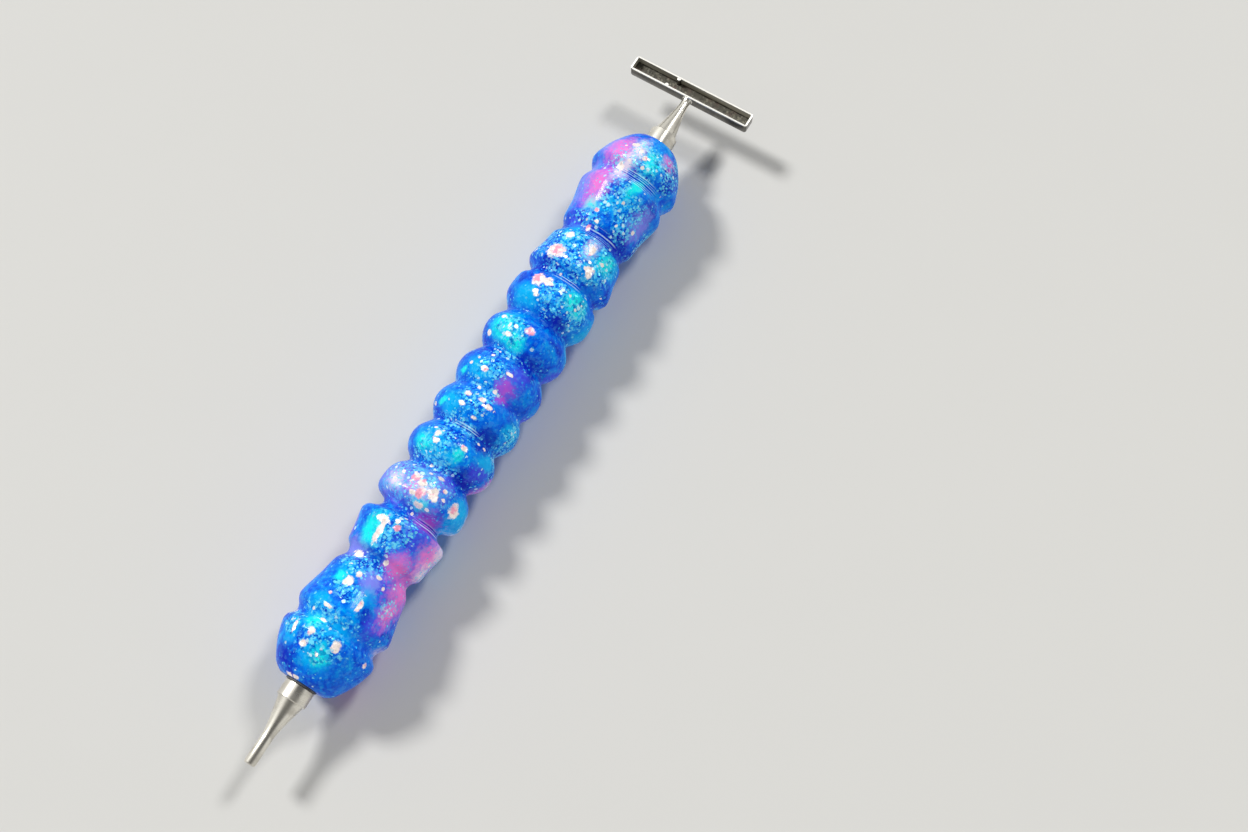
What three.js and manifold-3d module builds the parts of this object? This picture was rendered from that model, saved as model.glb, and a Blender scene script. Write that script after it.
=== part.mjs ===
// A diamond painting pen lying on its side: a turned resin handle with a threaded sleeve in
// each end, a tapered single placer screwed into the nose and a wide trough placer screwed
// into the tail. Millimetres, +Z up. The pen lies along X with its nose towards -X.
import * as THREE from 'three';
import { mergeVertices } from 'three/addons/utils/BufferGeometryUtils.js';
import Module from 'manifold-3d';

const wasm = await Module();
wasm.setup();

// Handle
const handleLength = 119;
const handleDiameter = 17.9;
const socketDepth = 11;
const mouthDepth = 0.3;
const mouthMargin = 0.05;

// Threaded sleeves glued into the handle, and the thin rings the tips tighten against
const sleeveLength = 8.4;
const sleeveDiameter = 5.2;
const glueGap = 0.04;
const glueGrooveDepth = 0.15;
const ringThickness = 0.35;
const ringDiameter = 5.9;
const ringHoleDiameter = 4.4;

// Screw thread of both tips, M4 with its standard pitch
const threadDiameter = 4;
const threadPitch = 0.7;
const threadDepth = 0.43;
const threadPlay = 0.12;
const engagedTurns = 8;

// Tips
const collarDiameter = 5.54;
const collarLength = 3;
const collarChamfer = 0.15;
const noseReach = 15.6;
const noseConeDiameter = 4.9;
const noseConeLength = 7;
const noseTubeDiameter = 2.16;
const noseBoreDiameter = 1.56;
const noseBoreDepth = 5;
const stemReach = 12.3;
const stemConeDiameter = 4.5;
const stemConeLength = 8;
const neckDiameter = 1.72;
const brazeFillet = 0.2;
const tenonDiameter = 1;

// Trough placer
const troughWidth = 3.15;
const troughLength = 25.7;
const troughHeight = 2.3;
const troughWall = 0.35;
const troughCorner = 0.5;
const nubDiameter = 0.6;
const nubPlaces = [[1, 3.4], [-1, 4.9]];
const waxThickness = 0.3;
const waxMargin = 0.12;
const waxRipple = 0.05;

// Facets round each turned piece
const handleFacets = 32;
const tipFacets = 24;
const threadFacets = 20;

// The handle's outline from the nose end: stations of distance and radius, scaled below to
// the handle's own length and diameter. A smooth curve passes through them.
const handleStations = [
  // rounded nose end and front disc
  [0, 4.4], [0.9, 5.72], [2.8, 7.0], [4.8, 8.0], [6.6, 8.6], [7.9, 8.88], [8.8, 8.68],
  // narrow groove, then the front bell falling to its waist
  [9.5, 7.98], [10.1, 7.7], [10.9, 7.9], [12.1, 8.66], [12.9, 8.95], [15.0, 8.54],
  [18.0, 7.8], [20.9, 7.25], [22.2, 6.48], [23.0, 6.06], [24.2, 6.36],
  // cone that widens to a sharp crest, with a deep cut behind it
  [25.1, 7.2], [28.2, 7.76], [31.0, 8.32], [31.8, 7.95], [32.8, 6.15], [33.6, 5.65],
  [34.4, 5.95], [35.3, 7.6],
  // bead with its crest at the nose side
  [36.6, 8.38], [39.5, 8.13], [41.1, 7.27], [42.6, 5.98],
  // four round beads
  [44.2, 7.36], [45.6, 8.1], [47.0, 8.3], [48.5, 8.04], [50.0, 7.12], [51.05, 6.5],
  [52.3, 7.3], [53.8, 8.12], [55.2, 8.38], [56.8, 8.1], [58.3, 7.32], [59.1, 6.97],
  [60.2, 7.55], [61.5, 8.12], [62.8, 8.33], [64.4, 8.07], [66.0, 7.16], [67.35, 6.36],
  [68.6, 7.18], [70.2, 8.0], [71.8, 8.2], [73.3, 7.9], [74.7, 6.96], [75.9, 6.4],
  // bead with its crest at the tail side
  [77.3, 7.28], [78.7, 8.18], [80.3, 8.43], [83.0, 8.12], [83.8, 7.3], [84.7, 6.85],
  [85.7, 7.32],
  // sharp crest, then a cone falling to the tail waist
  [87.1, 8.46], [90.4, 7.77], [93.3, 7.3], [94.3, 6.56], [95.2, 6.35], [96.2, 6.66],
  // tail bell rising to the rear groove
  [97.3, 7.3], [101.0, 7.68], [103.6, 8.23], [105.7, 8.57], [107.1, 7.98], [108.0, 7.8],
  [108.9, 8.0],
  // rear dome
  [110.5, 8.95], [112.4, 8.48], [114.2, 7.83], [116.0, 6.83], [117.7, 5.66], [118.6, 4.8],
  [119.0, 4.1],
];

// Places along the pen, with the nose end of the handle at noseEnd
const overallLength = noseReach + handleLength + stemReach + troughWidth;
const noseEnd = noseReach - overallLength / 2;
const tailEnd = noseEnd + handleLength;
const axisHeight = handleDiameter / 2;
const engagedLength = engagedTurns * threadPitch;

// A closed solid that can be joined and cut.
function solidOf(geometry) {
  geometry.deleteAttribute('normal');
  geometry.deleteAttribute('uv');
  const welded = mergeVertices(geometry, 1e-4);
  const corners = welded.index.array;
  const kept = [];
  for (let i = 0; i < corners.length; i += 3) {
    const [a, b, c] = corners.slice(i, i + 3);
    if (a !== b && b !== c && c !== a) kept.push(a, b, c);
  }
  return new wasm.Manifold(new wasm.Mesh({
    numProp: 3,
    vertProperties: new Float32Array(welded.attributes.position.array),
    triVerts: new Uint32Array(kept),
  }));
}

// A piece turned about the pen's axis from points of place and radius, in order along X.
function turned(points, facets) {
  const outline = points.map(([x, radius]) => new THREE.Vector2(radius, x));
  const geometry = new THREE.LatheGeometry(outline, facets);
  geometry.rotateZ(-Math.PI / 2);
  return solidOf(geometry);
}

// The same piece facing the other way, for the nose end.
function facingNose(points) {
  return points.map(([x, radius]) => [noseEnd - x, radius]).reverse();
}

function facingTail(points) {
  return points.map(([x, radius]) => [tailEnd + x, radius]);
}

// A rod with a right-hand screw thread, from x = start to x = end. Its surface is a grid of
// four helical lines to each pitch: both edges of the crest and both edges of the root.
function threadedRod(start, end, play) {
  const crest = threadDiameter / 2 + play;
  const root = crest - threadDepth;
  const lines = [[0, crest], [1 / 8, crest], [7 / 16, root], [11 / 16, root]];
  const turns = Math.ceil((end - start) / threadPitch) + 3;
  const first = start - 2 * threadPitch;
  const rows = lines.length * turns;
  const vertices = [];
  const places = new Map();
  function corner(facet, row) {
    if (facet === threadFacets) return corner(0, row + lines.length);
    const key = `${facet} ${row}`;
    if (!places.has(key)) {
      const [along, radius] = lines[row % lines.length];
      const turn = Math.floor(row / lines.length) + along + facet / threadFacets;
      const angle = (2 * Math.PI * facet) / threadFacets;
      places.set(key, vertices.length / 3);
      vertices.push(first + turn * threadPitch, radius * Math.cos(angle), radius * Math.sin(angle));
    }
    return places.get(key);
  }
  const triangles = [];
  for (let facet = 0; facet < threadFacets; facet += 1) {
    for (let row = 0; row < rows; row += 1) {
      const [a, b] = [corner(facet, row), corner(facet + 1, row)];
      const [c, d] = [corner(facet + 1, row + 1), corner(facet, row + 1)];
      triangles.push(a, b, c, a, c, d);
    }
  }
  const lowApex = vertices.length / 3;
  vertices.push(first, 0, 0);
  const highApex = vertices.length / 3;
  vertices.push(first + (turns + 1) * threadPitch, 0, 0);
  for (let facet = 0; facet < threadFacets; facet += 1) {
    triangles.push(corner(facet + 1, 0), corner(facet, 0), lowApex);
    triangles.push(corner(facet, rows), corner(facet + 1, rows), highApex);
  }
  for (let row = 0; row < lines.length; row += 1) {
    triangles.push(corner(0, row), corner(0, row + 1), lowApex);
    triangles.push(corner(0, rows + row + 1), corner(0, rows + row), highApex);
  }
  return new wasm.Manifold(new wasm.Mesh({
    numProp: 3,
    vertProperties: new Float32Array(vertices),
    triVerts: new Uint32Array(triangles),
  }));
}

// A flat-topped block with rounded upright corners.
function roundedBlock(x0, x1, halfLength, z0, z1, corner) {
  const shape = new THREE.Shape();
  shape.absarc(x1 - corner, halfLength - corner, corner, 0, Math.PI / 2, false);
  shape.absarc(x0 + corner, halfLength - corner, corner, Math.PI / 2, Math.PI, false);
  shape.absarc(x0 + corner, corner - halfLength, corner, Math.PI, 1.5 * Math.PI, false);
  shape.absarc(x1 - corner, corner - halfLength, corner, 1.5 * Math.PI, 2 * Math.PI, false);
  shape.closePath();
  const geometry = new THREE.ExtrudeGeometry(shape, {
    depth: z1 - z0,
    bevelEnabled: false,
    curveSegments: 3,
  });
  geometry.translate(0, 0, z0);
  return solidOf(geometry);
}

// Handle: one resin casting, turned outside and bored at both ends. The mouth of each bore
// is countersunk just wider than the ring that covers it.
const along = handleLength / Math.max(...handleStations.map(([x]) => x));
const across = handleDiameter / 2 / Math.max(...handleStations.map(([, r]) => r));
const stationPoints = handleStations.map(([x, r]) => new THREE.Vector2(x * along, r * across));
const outlineCurve = new THREE.SplineCurve(stationPoints);
const socketRadius = sleeveDiameter / 2 + glueGap;
const mouthRadius = ringDiameter / 2 + mouthMargin;
const handleOutline = [
  [noseEnd + socketDepth, 0],
  [noseEnd + socketDepth, socketRadius],
  [noseEnd + mouthDepth, socketRadius],
  [noseEnd, mouthRadius],
];
stationPoints.forEach((point, i) => {
  handleOutline.push([noseEnd + point.x, point.y]);
  const next = stationPoints[i + 1];
  if (next && next.x - point.x > 1.2) {
    const between = outlineCurve.getPoint((i + 0.5) / (stationPoints.length - 1));
    handleOutline.push([noseEnd + between.x, between.y]);
  }
});
handleOutline.push(
  [tailEnd, mouthRadius],
  [tailEnd - mouthDepth, socketRadius],
  [tailEnd - socketDepth, socketRadius],
  [tailEnd - socketDepth, 0],
);
const handle = turned(handleOutline, handleFacets);

// Sleeve: a short tube glued into each socket, with two glue grooves and the screw thread.
const sleeveRadius = sleeveDiameter / 2;
const grooveWidth = sleeveLength / 7;
const sleeveOutline = [[-sleeveLength, 0], [-sleeveLength, sleeveRadius]];
for (const place of [5, 3]) {
  sleeveOutline.push(
    [-place * grooveWidth, sleeveRadius],
    [-place * grooveWidth, sleeveRadius - glueGrooveDepth],
    [(1 - place) * grooveWidth, sleeveRadius - glueGrooveDepth],
    [(1 - place) * grooveWidth, sleeveRadius],
  );
}
sleeveOutline.push([0, sleeveRadius], [0, 0]);

function sleeve(facing, from, to) {
  return turned(facing(sleeveOutline), handleFacets).subtract(threadedRod(from, to, threadPlay));
}
const noseSleeve = sleeve(facingNose, noseEnd, noseEnd + sleeveLength);
const tailSleeve = sleeve(facingTail, tailEnd - sleeveLength, tailEnd);

// Ring: the thin washer between each tip's collar and the handle.
const ringOutline = [
  [0, ringHoleDiameter / 2],
  [0, ringDiameter / 2],
  [ringThickness, ringDiameter / 2],
  [ringThickness, ringHoleDiameter / 2],
  [0, ringHoleDiameter / 2],
];
const noseRing = turned(facingNose(ringOutline), tipFacets);
const tailRing = turned(facingTail(ringOutline), tipFacets);

// The points of a collar and of the tapering cone that follows it, up to the slim end.
function collarAndCone(startDiameter, endDiameter, coneLength) {
  const collarEnd = ringThickness + collarLength;
  const cone = new THREE.QuadraticBezierCurve(
    new THREE.Vector2(collarEnd, startDiameter / 2),
    new THREE.Vector2(collarEnd + 0.75 * coneLength, endDiameter / 2),
    new THREE.Vector2(collarEnd + coneLength, endDiameter / 2),
  );
  return [
    [ringThickness, 0],
    [ringThickness, collarDiameter / 2 - collarChamfer],
    [ringThickness + collarChamfer, collarDiameter / 2],
    [collarEnd - collarChamfer, collarDiameter / 2],
    [collarEnd, collarDiameter / 2 - collarChamfer],
    ...cone.getPoints(9).map((point) => [point.x, point.y]),
  ];
}

// Stud: the threaded end of a tip, reaching inwards from its collar to the given depth.
const studOutline = [
  [-engagedLength, 0],
  [-engagedLength, threadDiameter / 2 - threadDepth],
  [-engagedLength + threadDepth, threadDiameter / 2 + threadPlay],
  [ringThickness + threadPitch / 2, threadDiameter / 2 + threadPlay],
  [ringThickness + threadPitch / 2, 0],
];
function stud(facing, from, to) {
  return turned(facing(studOutline), threadFacets).intersect(threadedRod(from, to, 0));
}

// Nose tip: collar, cone and thin tube with an open bore for the drill's wax.
const tubeEnd = noseReach - collarChamfer;
const noseTipOutline = [
  ...collarAndCone(noseConeDiameter, noseTubeDiameter, noseConeLength),
  [tubeEnd, noseTubeDiameter / 2],
  [noseReach, noseTubeDiameter / 2 - collarChamfer / 2],
  [noseReach, noseBoreDiameter / 2],
  [noseReach - noseBoreDepth, noseBoreDiameter / 2],
  [noseReach - noseBoreDepth, 0],
];
const noseTip = turned(facingNose(noseTipOutline), tipFacets)
  .add(stud(facingNose, noseEnd, noseEnd + sleeveLength));

// Stem: the same collar and cone, with a slim neck brazed to the trough by a tenon.
const stemOutline = [
  ...collarAndCone(stemConeDiameter, neckDiameter, stemConeLength),
  [stemReach - brazeFillet, neckDiameter / 2],
  [stemReach, neckDiameter / 2 + brazeFillet],
  [stemReach, tenonDiameter / 2],
  [stemReach + troughWall, tenonDiameter / 2],
  [stemReach + troughWall, 0],
];
const stem = turned(facingTail(stemOutline), tipFacets)
  .add(stud(facingTail, tailEnd - sleeveLength, tailEnd));

// Trough: a shallow open channel across the end of the stem, with two pressed nubs inside.
const troughBack = tailEnd + stemReach;
const troughFront = troughBack + troughWidth;
const floorTop = troughWall - troughHeight / 2;
const rim = troughHeight / 2;
const hollow = roundedBlock(
  troughBack + troughWall,
  troughFront - troughWall,
  troughLength / 2 - troughWall,
  floorTop,
  rim + troughWall,
  troughCorner - troughWall / 2,
);
const tenonHole = turned(
  [
    [troughBack - troughWall, 0],
    [troughBack - troughWall, tenonDiameter / 2 + glueGap],
    [troughBack + troughWidth / 2, tenonDiameter / 2 + glueGap],
    [troughBack + troughWidth / 2, 0],
  ],
  tipFacets,
);
function nubs(diameter) {
  const pieces = nubPlaces.map(([side, y]) => {
    const geometry = new THREE.CylinderGeometry(diameter / 2, diameter / 2, rim - floorTop, 12);
    geometry.rotateX(Math.PI / 2);
    const middle = (troughBack + troughFront) / 2;
    const wallFace = middle + side * (troughWidth / 2 - troughWall);
    geometry.translate(wallFace, y, (rim + floorTop) / 2);
    return solidOf(geometry);
  });
  return pieces[0].add(pieces[1]);
}
const trough = roundedBlock(troughBack, troughFront, troughLength / 2, -rim, rim, troughCorner)
  .subtract(hollow)
  .add(nubs(nubDiameter))
  .subtract(tenonHole);

// Wax: a thin uneven layer left on the floor of the trough.
const waxLength = troughLength - 2 * (troughWall + waxMargin);
const waxWidth = troughWidth - 2 * (troughWall + waxMargin);
const waxGeometry = new THREE.BoxGeometry(waxWidth, waxLength, waxThickness, 2, 20, 1);
const waxVertices = waxGeometry.attributes.position;
for (let i = 0; i < waxVertices.count; i += 1) {
  if (waxVertices.getZ(i) > 0) {
    const [x, y] = [waxVertices.getX(i), waxVertices.getY(i)];
    const swell = Math.sin(2.1 * y + x) * Math.cos(0.9 * y - 2 * x);
    waxVertices.setZ(i, waxThickness / 2 + waxRipple * swell);
  }
}
waxGeometry.translate((troughBack + troughFront) / 2, 0, floorTop + waxThickness / 2);
const wax = solidOf(waxGeometry).subtract(nubs(nubDiameter + 2 * waxMargin));

const finishes = {
  resin: { color: 0x1f6fe0, roughness: 0.12, metalness: 0 },
  brass: { color: 0xb8934a, roughness: 0.35, metalness: 1 },
  nylon: { color: 0x1c1c1e, roughness: 0.6, metalness: 0 },
  steel: { color: 0xd2d0cc, roughness: 0.18, metalness: 1 },
  wax: { color: 0x6f6557, roughness: 0.7, metalness: 0 },
};

const group = new THREE.Group();

function place(name, solid, finish) {
  const { vertProperties, triVerts } = solid.getMesh();
  const geometry = new THREE.BufferGeometry();
  geometry.setAttribute('position', new THREE.BufferAttribute(vertProperties, 3));
  geometry.setIndex(new THREE.BufferAttribute(triVerts, 1));
  geometry.translate(0, 0, axisHeight);
  geometry.computeVertexNormals();
  const mesh = new THREE.Mesh(geometry, new THREE.MeshStandardMaterial(finishes[finish]));
  mesh.name = name;
  group.add(mesh);
}

place('handle', handle, 'resin');
place('nose_sleeve', noseSleeve, 'brass');
place('tail_sleeve', tailSleeve, 'brass');
place('nose_ring', noseRing, 'nylon');
place('tail_ring', tailRing, 'nylon');
place('nose_tip', noseTip, 'steel');
place('placer_stem', stem, 'steel');
place('placer_trough', trough, 'steel');
place('trough_wax', wax, 'wax');

export default group;
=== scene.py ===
# %% [markdown]
# # A diamond painting pen
# The pen is a turned resin handle with a screw-in metal tip at each end: a thin tube for single
# drills at the nose and a wide trough for a whole row at the tail. The solid model already fixes
# every size, so it is loaded first, and each cell below dresses one piece of it.

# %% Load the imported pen
import math
import random

import bpy
from mathutils import Matrix, Vector


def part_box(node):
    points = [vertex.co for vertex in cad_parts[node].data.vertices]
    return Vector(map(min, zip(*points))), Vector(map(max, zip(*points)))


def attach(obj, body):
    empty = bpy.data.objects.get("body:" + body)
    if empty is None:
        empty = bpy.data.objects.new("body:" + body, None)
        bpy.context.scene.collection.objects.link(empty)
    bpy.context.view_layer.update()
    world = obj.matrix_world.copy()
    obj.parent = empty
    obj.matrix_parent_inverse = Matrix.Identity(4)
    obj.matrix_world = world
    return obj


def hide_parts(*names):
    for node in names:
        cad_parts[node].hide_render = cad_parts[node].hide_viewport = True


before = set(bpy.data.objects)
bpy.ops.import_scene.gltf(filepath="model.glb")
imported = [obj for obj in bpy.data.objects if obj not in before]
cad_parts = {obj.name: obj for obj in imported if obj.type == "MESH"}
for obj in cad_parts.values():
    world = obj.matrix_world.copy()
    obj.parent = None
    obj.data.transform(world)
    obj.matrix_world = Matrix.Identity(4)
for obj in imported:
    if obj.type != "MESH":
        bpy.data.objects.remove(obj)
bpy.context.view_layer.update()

# %% [markdown]
# All places come from the loaded frame. The pen lies along X with its nose towards -X, and its
# axis runs through the middle of the handle's box. Lengths in this script are in metres, so a
# small constant turns a maker's millimetres into them.

# %% Places along the pen
MM = 0.001
handle_low, handle_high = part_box("handle")
AXIS_HEIGHT = (handle_low.z + handle_high.z) / 2
NOSE_END = handle_low.x
TAIL_END = handle_high.x
TOWARDS_NOSE = -1
TOWARDS_TAIL = 1


def in_mm(*lengths):
    """Lengths in metres as rounded millimetres, to print them."""
    return [round(length / MM, 2) for length in lengths]


print("axis height and both ends, mm:", in_mm(AXIS_HEIGHT, NOSE_END, TAIL_END))

# %% [markdown]
# The camera comes first, so that a render shows the pen as the photograph does: from
# above and a little from the nose side, close enough for some perspective.

# %% Camera
EYE = Vector((-71.96, -71.04, 280.43)) * MM
LOOK_RIGHT = Vector((0.50995, -0.86020, 0.0))
LOOK_UP = Vector((0.81167, 0.48118, 0.33115))
LENS_MM = 46.15
SENSOR_MM = 36
SEES_FROM = 0.01
SEES_TO = 20


def place_camera():
    lens = bpy.data.cameras.new("camera")
    lens.sensor_width = SENSOR_MM
    lens.lens = LENS_MM
    lens.clip_start = SEES_FROM
    lens.clip_end = SEES_TO
    camera = bpy.data.objects.new("camera", lens)
    bpy.context.scene.collection.objects.link(camera)
    back = LOOK_RIGHT.cross(LOOK_UP)
    turn = Matrix((LOOK_RIGHT, LOOK_UP, back)).transposed()
    camera.matrix_world = Matrix.Translation(EYE) @ turn.to_4x4()
    bpy.context.scene.camera = camera


place_camera()
print("camera", round(EYE.length / MM), "mm from the middle of the pen")

# %% [markdown]
# Materials are built from nodes. These few helpers add a node, wire its inputs and give the
# common sums, mixes and noises a short name, so that each finish below reads like a recipe.


# %% Node helpers
def set_inputs(tree, node, inputs):
    """Wires each input to the socket that is given for it, or writes the plain value there."""
    for name, value in dict(inputs).items():
        if isinstance(value, bpy.types.NodeSocket):
            tree.links.new(value, node.inputs[name])
        else:
            node.inputs[name].default_value = value


def add_node(tree, kind, inputs=(), **settings):
    made = tree.nodes.new(kind)
    for name, value in settings.items():
        setattr(made, name, value)
    set_inputs(tree, made, inputs)
    return made


def maths(tree, operation, first, second=0.0, third=0.0):
    made = add_node(tree, "ShaderNodeMath", {0: first, 1: second, 2: third}, operation=operation)
    return made.outputs[0]


def vector_maths(tree, operation, first, second=(0, 0, 0), third=(0, 0, 0)):
    """A sum on vectors. A length or a dot product gives a number, and the others a vector."""
    inputs = {0: first, 1: second, 2: third}
    made = add_node(tree, "ShaderNodeVectorMath", inputs, operation=operation)
    return made.outputs["Value" if operation in ("LENGTH", "DOT_PRODUCT") else "Vector"]


def scale_vector(tree, vector, amount):
    made = add_node(tree, "ShaderNodeVectorMath", {0: vector, "Scale": amount}, operation="SCALE")
    return made.outputs["Vector"]


def one_axis(tree, place, axis):
    return add_node(tree, "ShaderNodeSeparateXYZ", {0: place}).outputs[axis]


def blend_colours(tree, share, first, second):
    """The first colour where the share is 0, and the second where it is 1."""
    inputs = {0: share, 6: first, 7: second}
    return add_node(tree, "ShaderNodeMix", inputs, data_type="RGBA", clamp_factor=True).outputs[2]


def fade(tree, value, start, end, low=0.0, high=1.0):
    """A soft step: low up to the start and high from the end on, which may also lie below it."""
    inputs = {"Value": value, "From Min": start, "From Max": end, "To Min": low, "To Max": high}
    return add_node(tree, "ShaderNodeMapRange", inputs, interpolation_type="SMOOTHSTEP").outputs[0]


def noise(tree, place, scale, detail, roughness=0.5, distortion=0.0, output="Fac"):
    """Cloudy noise. A scale of 1 gives clouds of about a millimetre."""
    inputs = {"Vector": place, "Scale": scale, "Detail": detail}
    inputs.update({"Roughness": roughness, "Distortion": distortion})
    return add_node(tree, "ShaderNodeTexNoise", inputs).outputs[output]


def bump(tree, height, strength, depth):
    """A relief that only bends the light, with its depth in metres."""
    inputs = {"Height": height, "Strength": strength, "Distance": depth}
    return add_node(tree, "ShaderNodeBump", inputs).outputs[0]


# %% [markdown]
# Each finish starts as a new material with Blender's all-round shader. Its patterns read Object
# coordinates in millimetres, so that they stay put on a piece and their sizes can be read off.
# Its colours are written as they look on a screen, and Blender mixes them as linear light.


# %% New finishes
def colour(red, green, blue):
    """A screen colour, 0 to 255, as the linear colour that Blender mixes."""
    def linear(value):
        share = value / 255
        return share / 12.92 if share < 0.04045 else ((share + 0.055) / 1.055) ** 2.4
    return (linear(red), linear(green), linear(blue), 1)


def new_finish(name):
    """A new material with a Principled shader, and its tree."""
    finish = bpy.data.materials.new(name)
    finish.use_nodes = True
    shader = finish.node_tree.nodes["Principled BSDF"]
    return finish, finish.node_tree, shader


def millimetres(tree):
    """Object coordinates in millimetres."""
    place = tree.nodes.new("ShaderNodeTexCoord").outputs["Object"]
    return scale_vector(tree, place, 1 / MM)


print("a middle grey of 128 on a screen is", round(colour(128, 128, 128)[0], 3), "of white light")

# %% [markdown]
# Two effects are shared by several finishes. A lathe leaves faint rings round every turned
# piece, and fingers leave smudges that change how sharply a surface shines. Each is one node
# group with named inputs, placed in every finish with its own values.


# %% Shared effects
def new_group(name, inputs, output):
    """A node group with named inputs, each with a kind and a value, and one number as output."""
    group = bpy.data.node_groups.new(name, "ShaderNodeTree")
    for socket, kind, value in inputs:
        made = group.interface.new_socket(socket, in_out="INPUT", socket_type=kind)
        if value is not None:
            made.default_value = value
    group.interface.new_socket(output, in_out="OUTPUT", socket_type="NodeSocketFloat")
    start = group.nodes.new("NodeGroupInput")
    end = group.nodes.new("NodeGroupOutput")
    return group, start.outputs, end.inputs[output]


def make_turning_rings():
    group, given, height = new_group(
        "turning rings",
        [("Place", "NodeSocketVector", None), ("Spacing", "NodeSocketFloat", 0.3)],
        "Height",
    )
    drift = noise(group, given["Place"], 0.35, 1.0)
    along = maths(group, "MULTIPLY_ADD", drift, 0.25, one_axis(group, given["Place"], "X"))
    turns = maths(group, "DIVIDE", along, given["Spacing"])
    inputs = {"W": turns, "Scale": 1.0, "Detail": 3.0}
    rings = add_node(group, "ShaderNodeTexNoise", inputs, noise_dimensions="1D")
    group.links.new(rings.outputs["Fac"], height)
    return group


def make_smudges():
    group, given, smudge = new_group(
        "finger smudges",
        [("Place", "NodeSocketVector", None), ("Size", "NodeSocketFloat", 4.0)],
        "Smudge",
    )
    scale = maths(group, "DIVIDE", 1.0, given["Size"])
    broad = noise(group, given["Place"], scale, 5.0, distortion=0.6)
    group.links.new(fade(group, broad, 0.42, 0.68), smudge)
    return group


TURNING_RINGS = make_turning_rings()
SMUDGES = make_smudges()


def use_group(tree, group, **inputs):
    return add_node(tree, "ShaderNodeGroup", inputs, node_tree=group).outputs[0]


print("shared effects:", TURNING_RINGS.name, "and", SMUDGES.name)

# %% [markdown]
# The handle is poured before it is turned, so its pattern is solid: dyes, mica and glitter fill
# the whole block, and the lathe cuts through them. A pattern on Object coordinates does the
# same, which is why the swirls here cross the grooves as they do on the real handle. Where each
# dye was dropped is a short list of places in millimetres, with the size of the drop.

# %% Dye drops
# Each drop is its place along, across and up, and its three half widths.
CYAN_DROPS = [
    ((-54.6, -1.2, 17.0), (3.6, 2.6, 3.0)), ((-50.0, 0.5, 16.5), (1.9, 5.2, 3.0)),
    ((-52.6, 5.2, 15.6), (3.0, 1.8, 3.0)), ((-46.4, 3.4, 16.4), (2.2, 1.8, 2.6)),
    ((-40.2, 2.6, 16.0), (2.6, 1.7, 2.6)), ((-42.4, -2.8, 16.4), (2.4, 1.3, 2.2)),
    ((-20.6, -0.6, 17.0), (1.8, 1.6, 2.2)), ((-23.2, 6.2, 14.6), (0.9, 1.0, 1.6)),
    ((-21.0, -7.4, 12.0), (2.6, 2.2, 3.4)), ((-13.8, 2.6, 16.4), (2.6, 4.2, 3.2)),
    ((-14.2, -2.0, 16.6), (1.8, 1.6, 2.2)), ((-11.0, -6.8, 13.0), (1.5, 1.8, 3.0)),
    ((-5.2, 3.4, 15.8), (2.4, 2.6, 2.8)), ((-3.6, -7.4, 12.1), (2.4, 1.3, 3.4)),
    ((2.4, 2.4, 16.4), (2.0, 2.8, 2.6)), ((11.6, 3.6, 16.2), (3.4, 4.4, 3.2)),
    ((9.7, 0.0, 16.6), (1.6, 2.2, 2.4)), ((22.3, -5.4, 15.0), (2.8, 2.8, 3.0)),
    ((18.9, 3.6, 16.2), (2.4, 3.0, 3.0)), ((40.7, 2.8, 16.0), (1.8, 1.8, 2.2)),
    ((41.6, -0.2, 16.6), (1.8, 1.8, 2.0)), ((31.4, -6.4, 13.2), (2.6, 2.0, 3.2)),
    ((29.0, -4.4, 16.0), (2.6, 2.0, 2.6)), ((33.6, 2.4, 16.0), (2.2, 2.8, 2.6)),
    ((53.6, -3.4, 16.8), (3.8, 2.4, 3.0)), ((46.0, -3.0, 16.8), (4.6, 1.6, 2.8)),
]
AQUA_DROPS = [
    ((-31.2, 3.0, 16.2), (3.6, 2.4, 3.2)), ((-54.4, -1.8, 17.0), (2.2, 1.6, 2.6)),
    ((-50.2, 2.4, 16.6), (1.2, 1.6, 2.2)), ((-41.0, 2.8, 16.0), (1.3, 1.0, 1.8)),
    ((-14.2, 3.6, 16.0), (1.8, 1.8, 2.2)), ((-19.4, -1.0, 16.8), (1.0, 1.3, 1.8)),
    ((-23.8, -1.6, 16.4), (1.1, 1.8, 2.0)), ((-12.6, -2.6, 16.6), (1.4, 1.4, 1.8)),
    ((-5.4, 5.6, 14.6), (0.8, 1.0, 1.8)), ((1.2, 5.4, 14.8), (0.8, 0.7, 1.4)),
    ((11.8, 3.4, 16.4), (2.8, 3.2, 3.0)), ((10.2, 0.4, 16.6), (1.7, 2.0, 2.2)),
    ((21.8, -5.2, 15.2), (2.2, 2.6, 3.0)), ((31.8, -5.6, 14.0), (2.2, 1.6, 2.6)),
    ((53.0, -3.0, 17.0), (2.6, 1.8, 2.6)), ((40.9, 2.8, 16.2), (1.6, 1.4, 2.0)),
    ((46.6, -3.2, 16.8), (2.4, 1.0, 2.0)),
]
PINK_DROPS = [
    ((-34.8, -4.4, 14.2), (2.6, 1.9, 3.0)), ((-37.6, -6.8, 11.8), (4.8, 2.2, 4.2)),
    ((-42.0, -7.0, 12.8), (3.2, 1.5, 2.6)), ((-30.8, -7.4, 11.6), (3.6, 2.0, 3.4)),
    ((-21.6, 1.2, 17.0), (0.9, 1.0, 1.2)), ((44.6, 3.6, 16.4), (4.2, 2.2, 3.0)),
    ((52.6, 3.6, 16.8), (3.4, 2.4, 2.8)), ((56.0, -5.6, 15.6), (1.6, 1.3, 2.6)),
]
MAGENTA_DROPS = [
    ((-25.4, -4.0, 13.4), (1.9, 2.2, 2.8)), ((-0.2, -3.0, 15.6), (1.3, 1.0, 1.6)),
    ((1.6, -3.1, 16.2), (1.9, 1.5, 2.0)),
]
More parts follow.
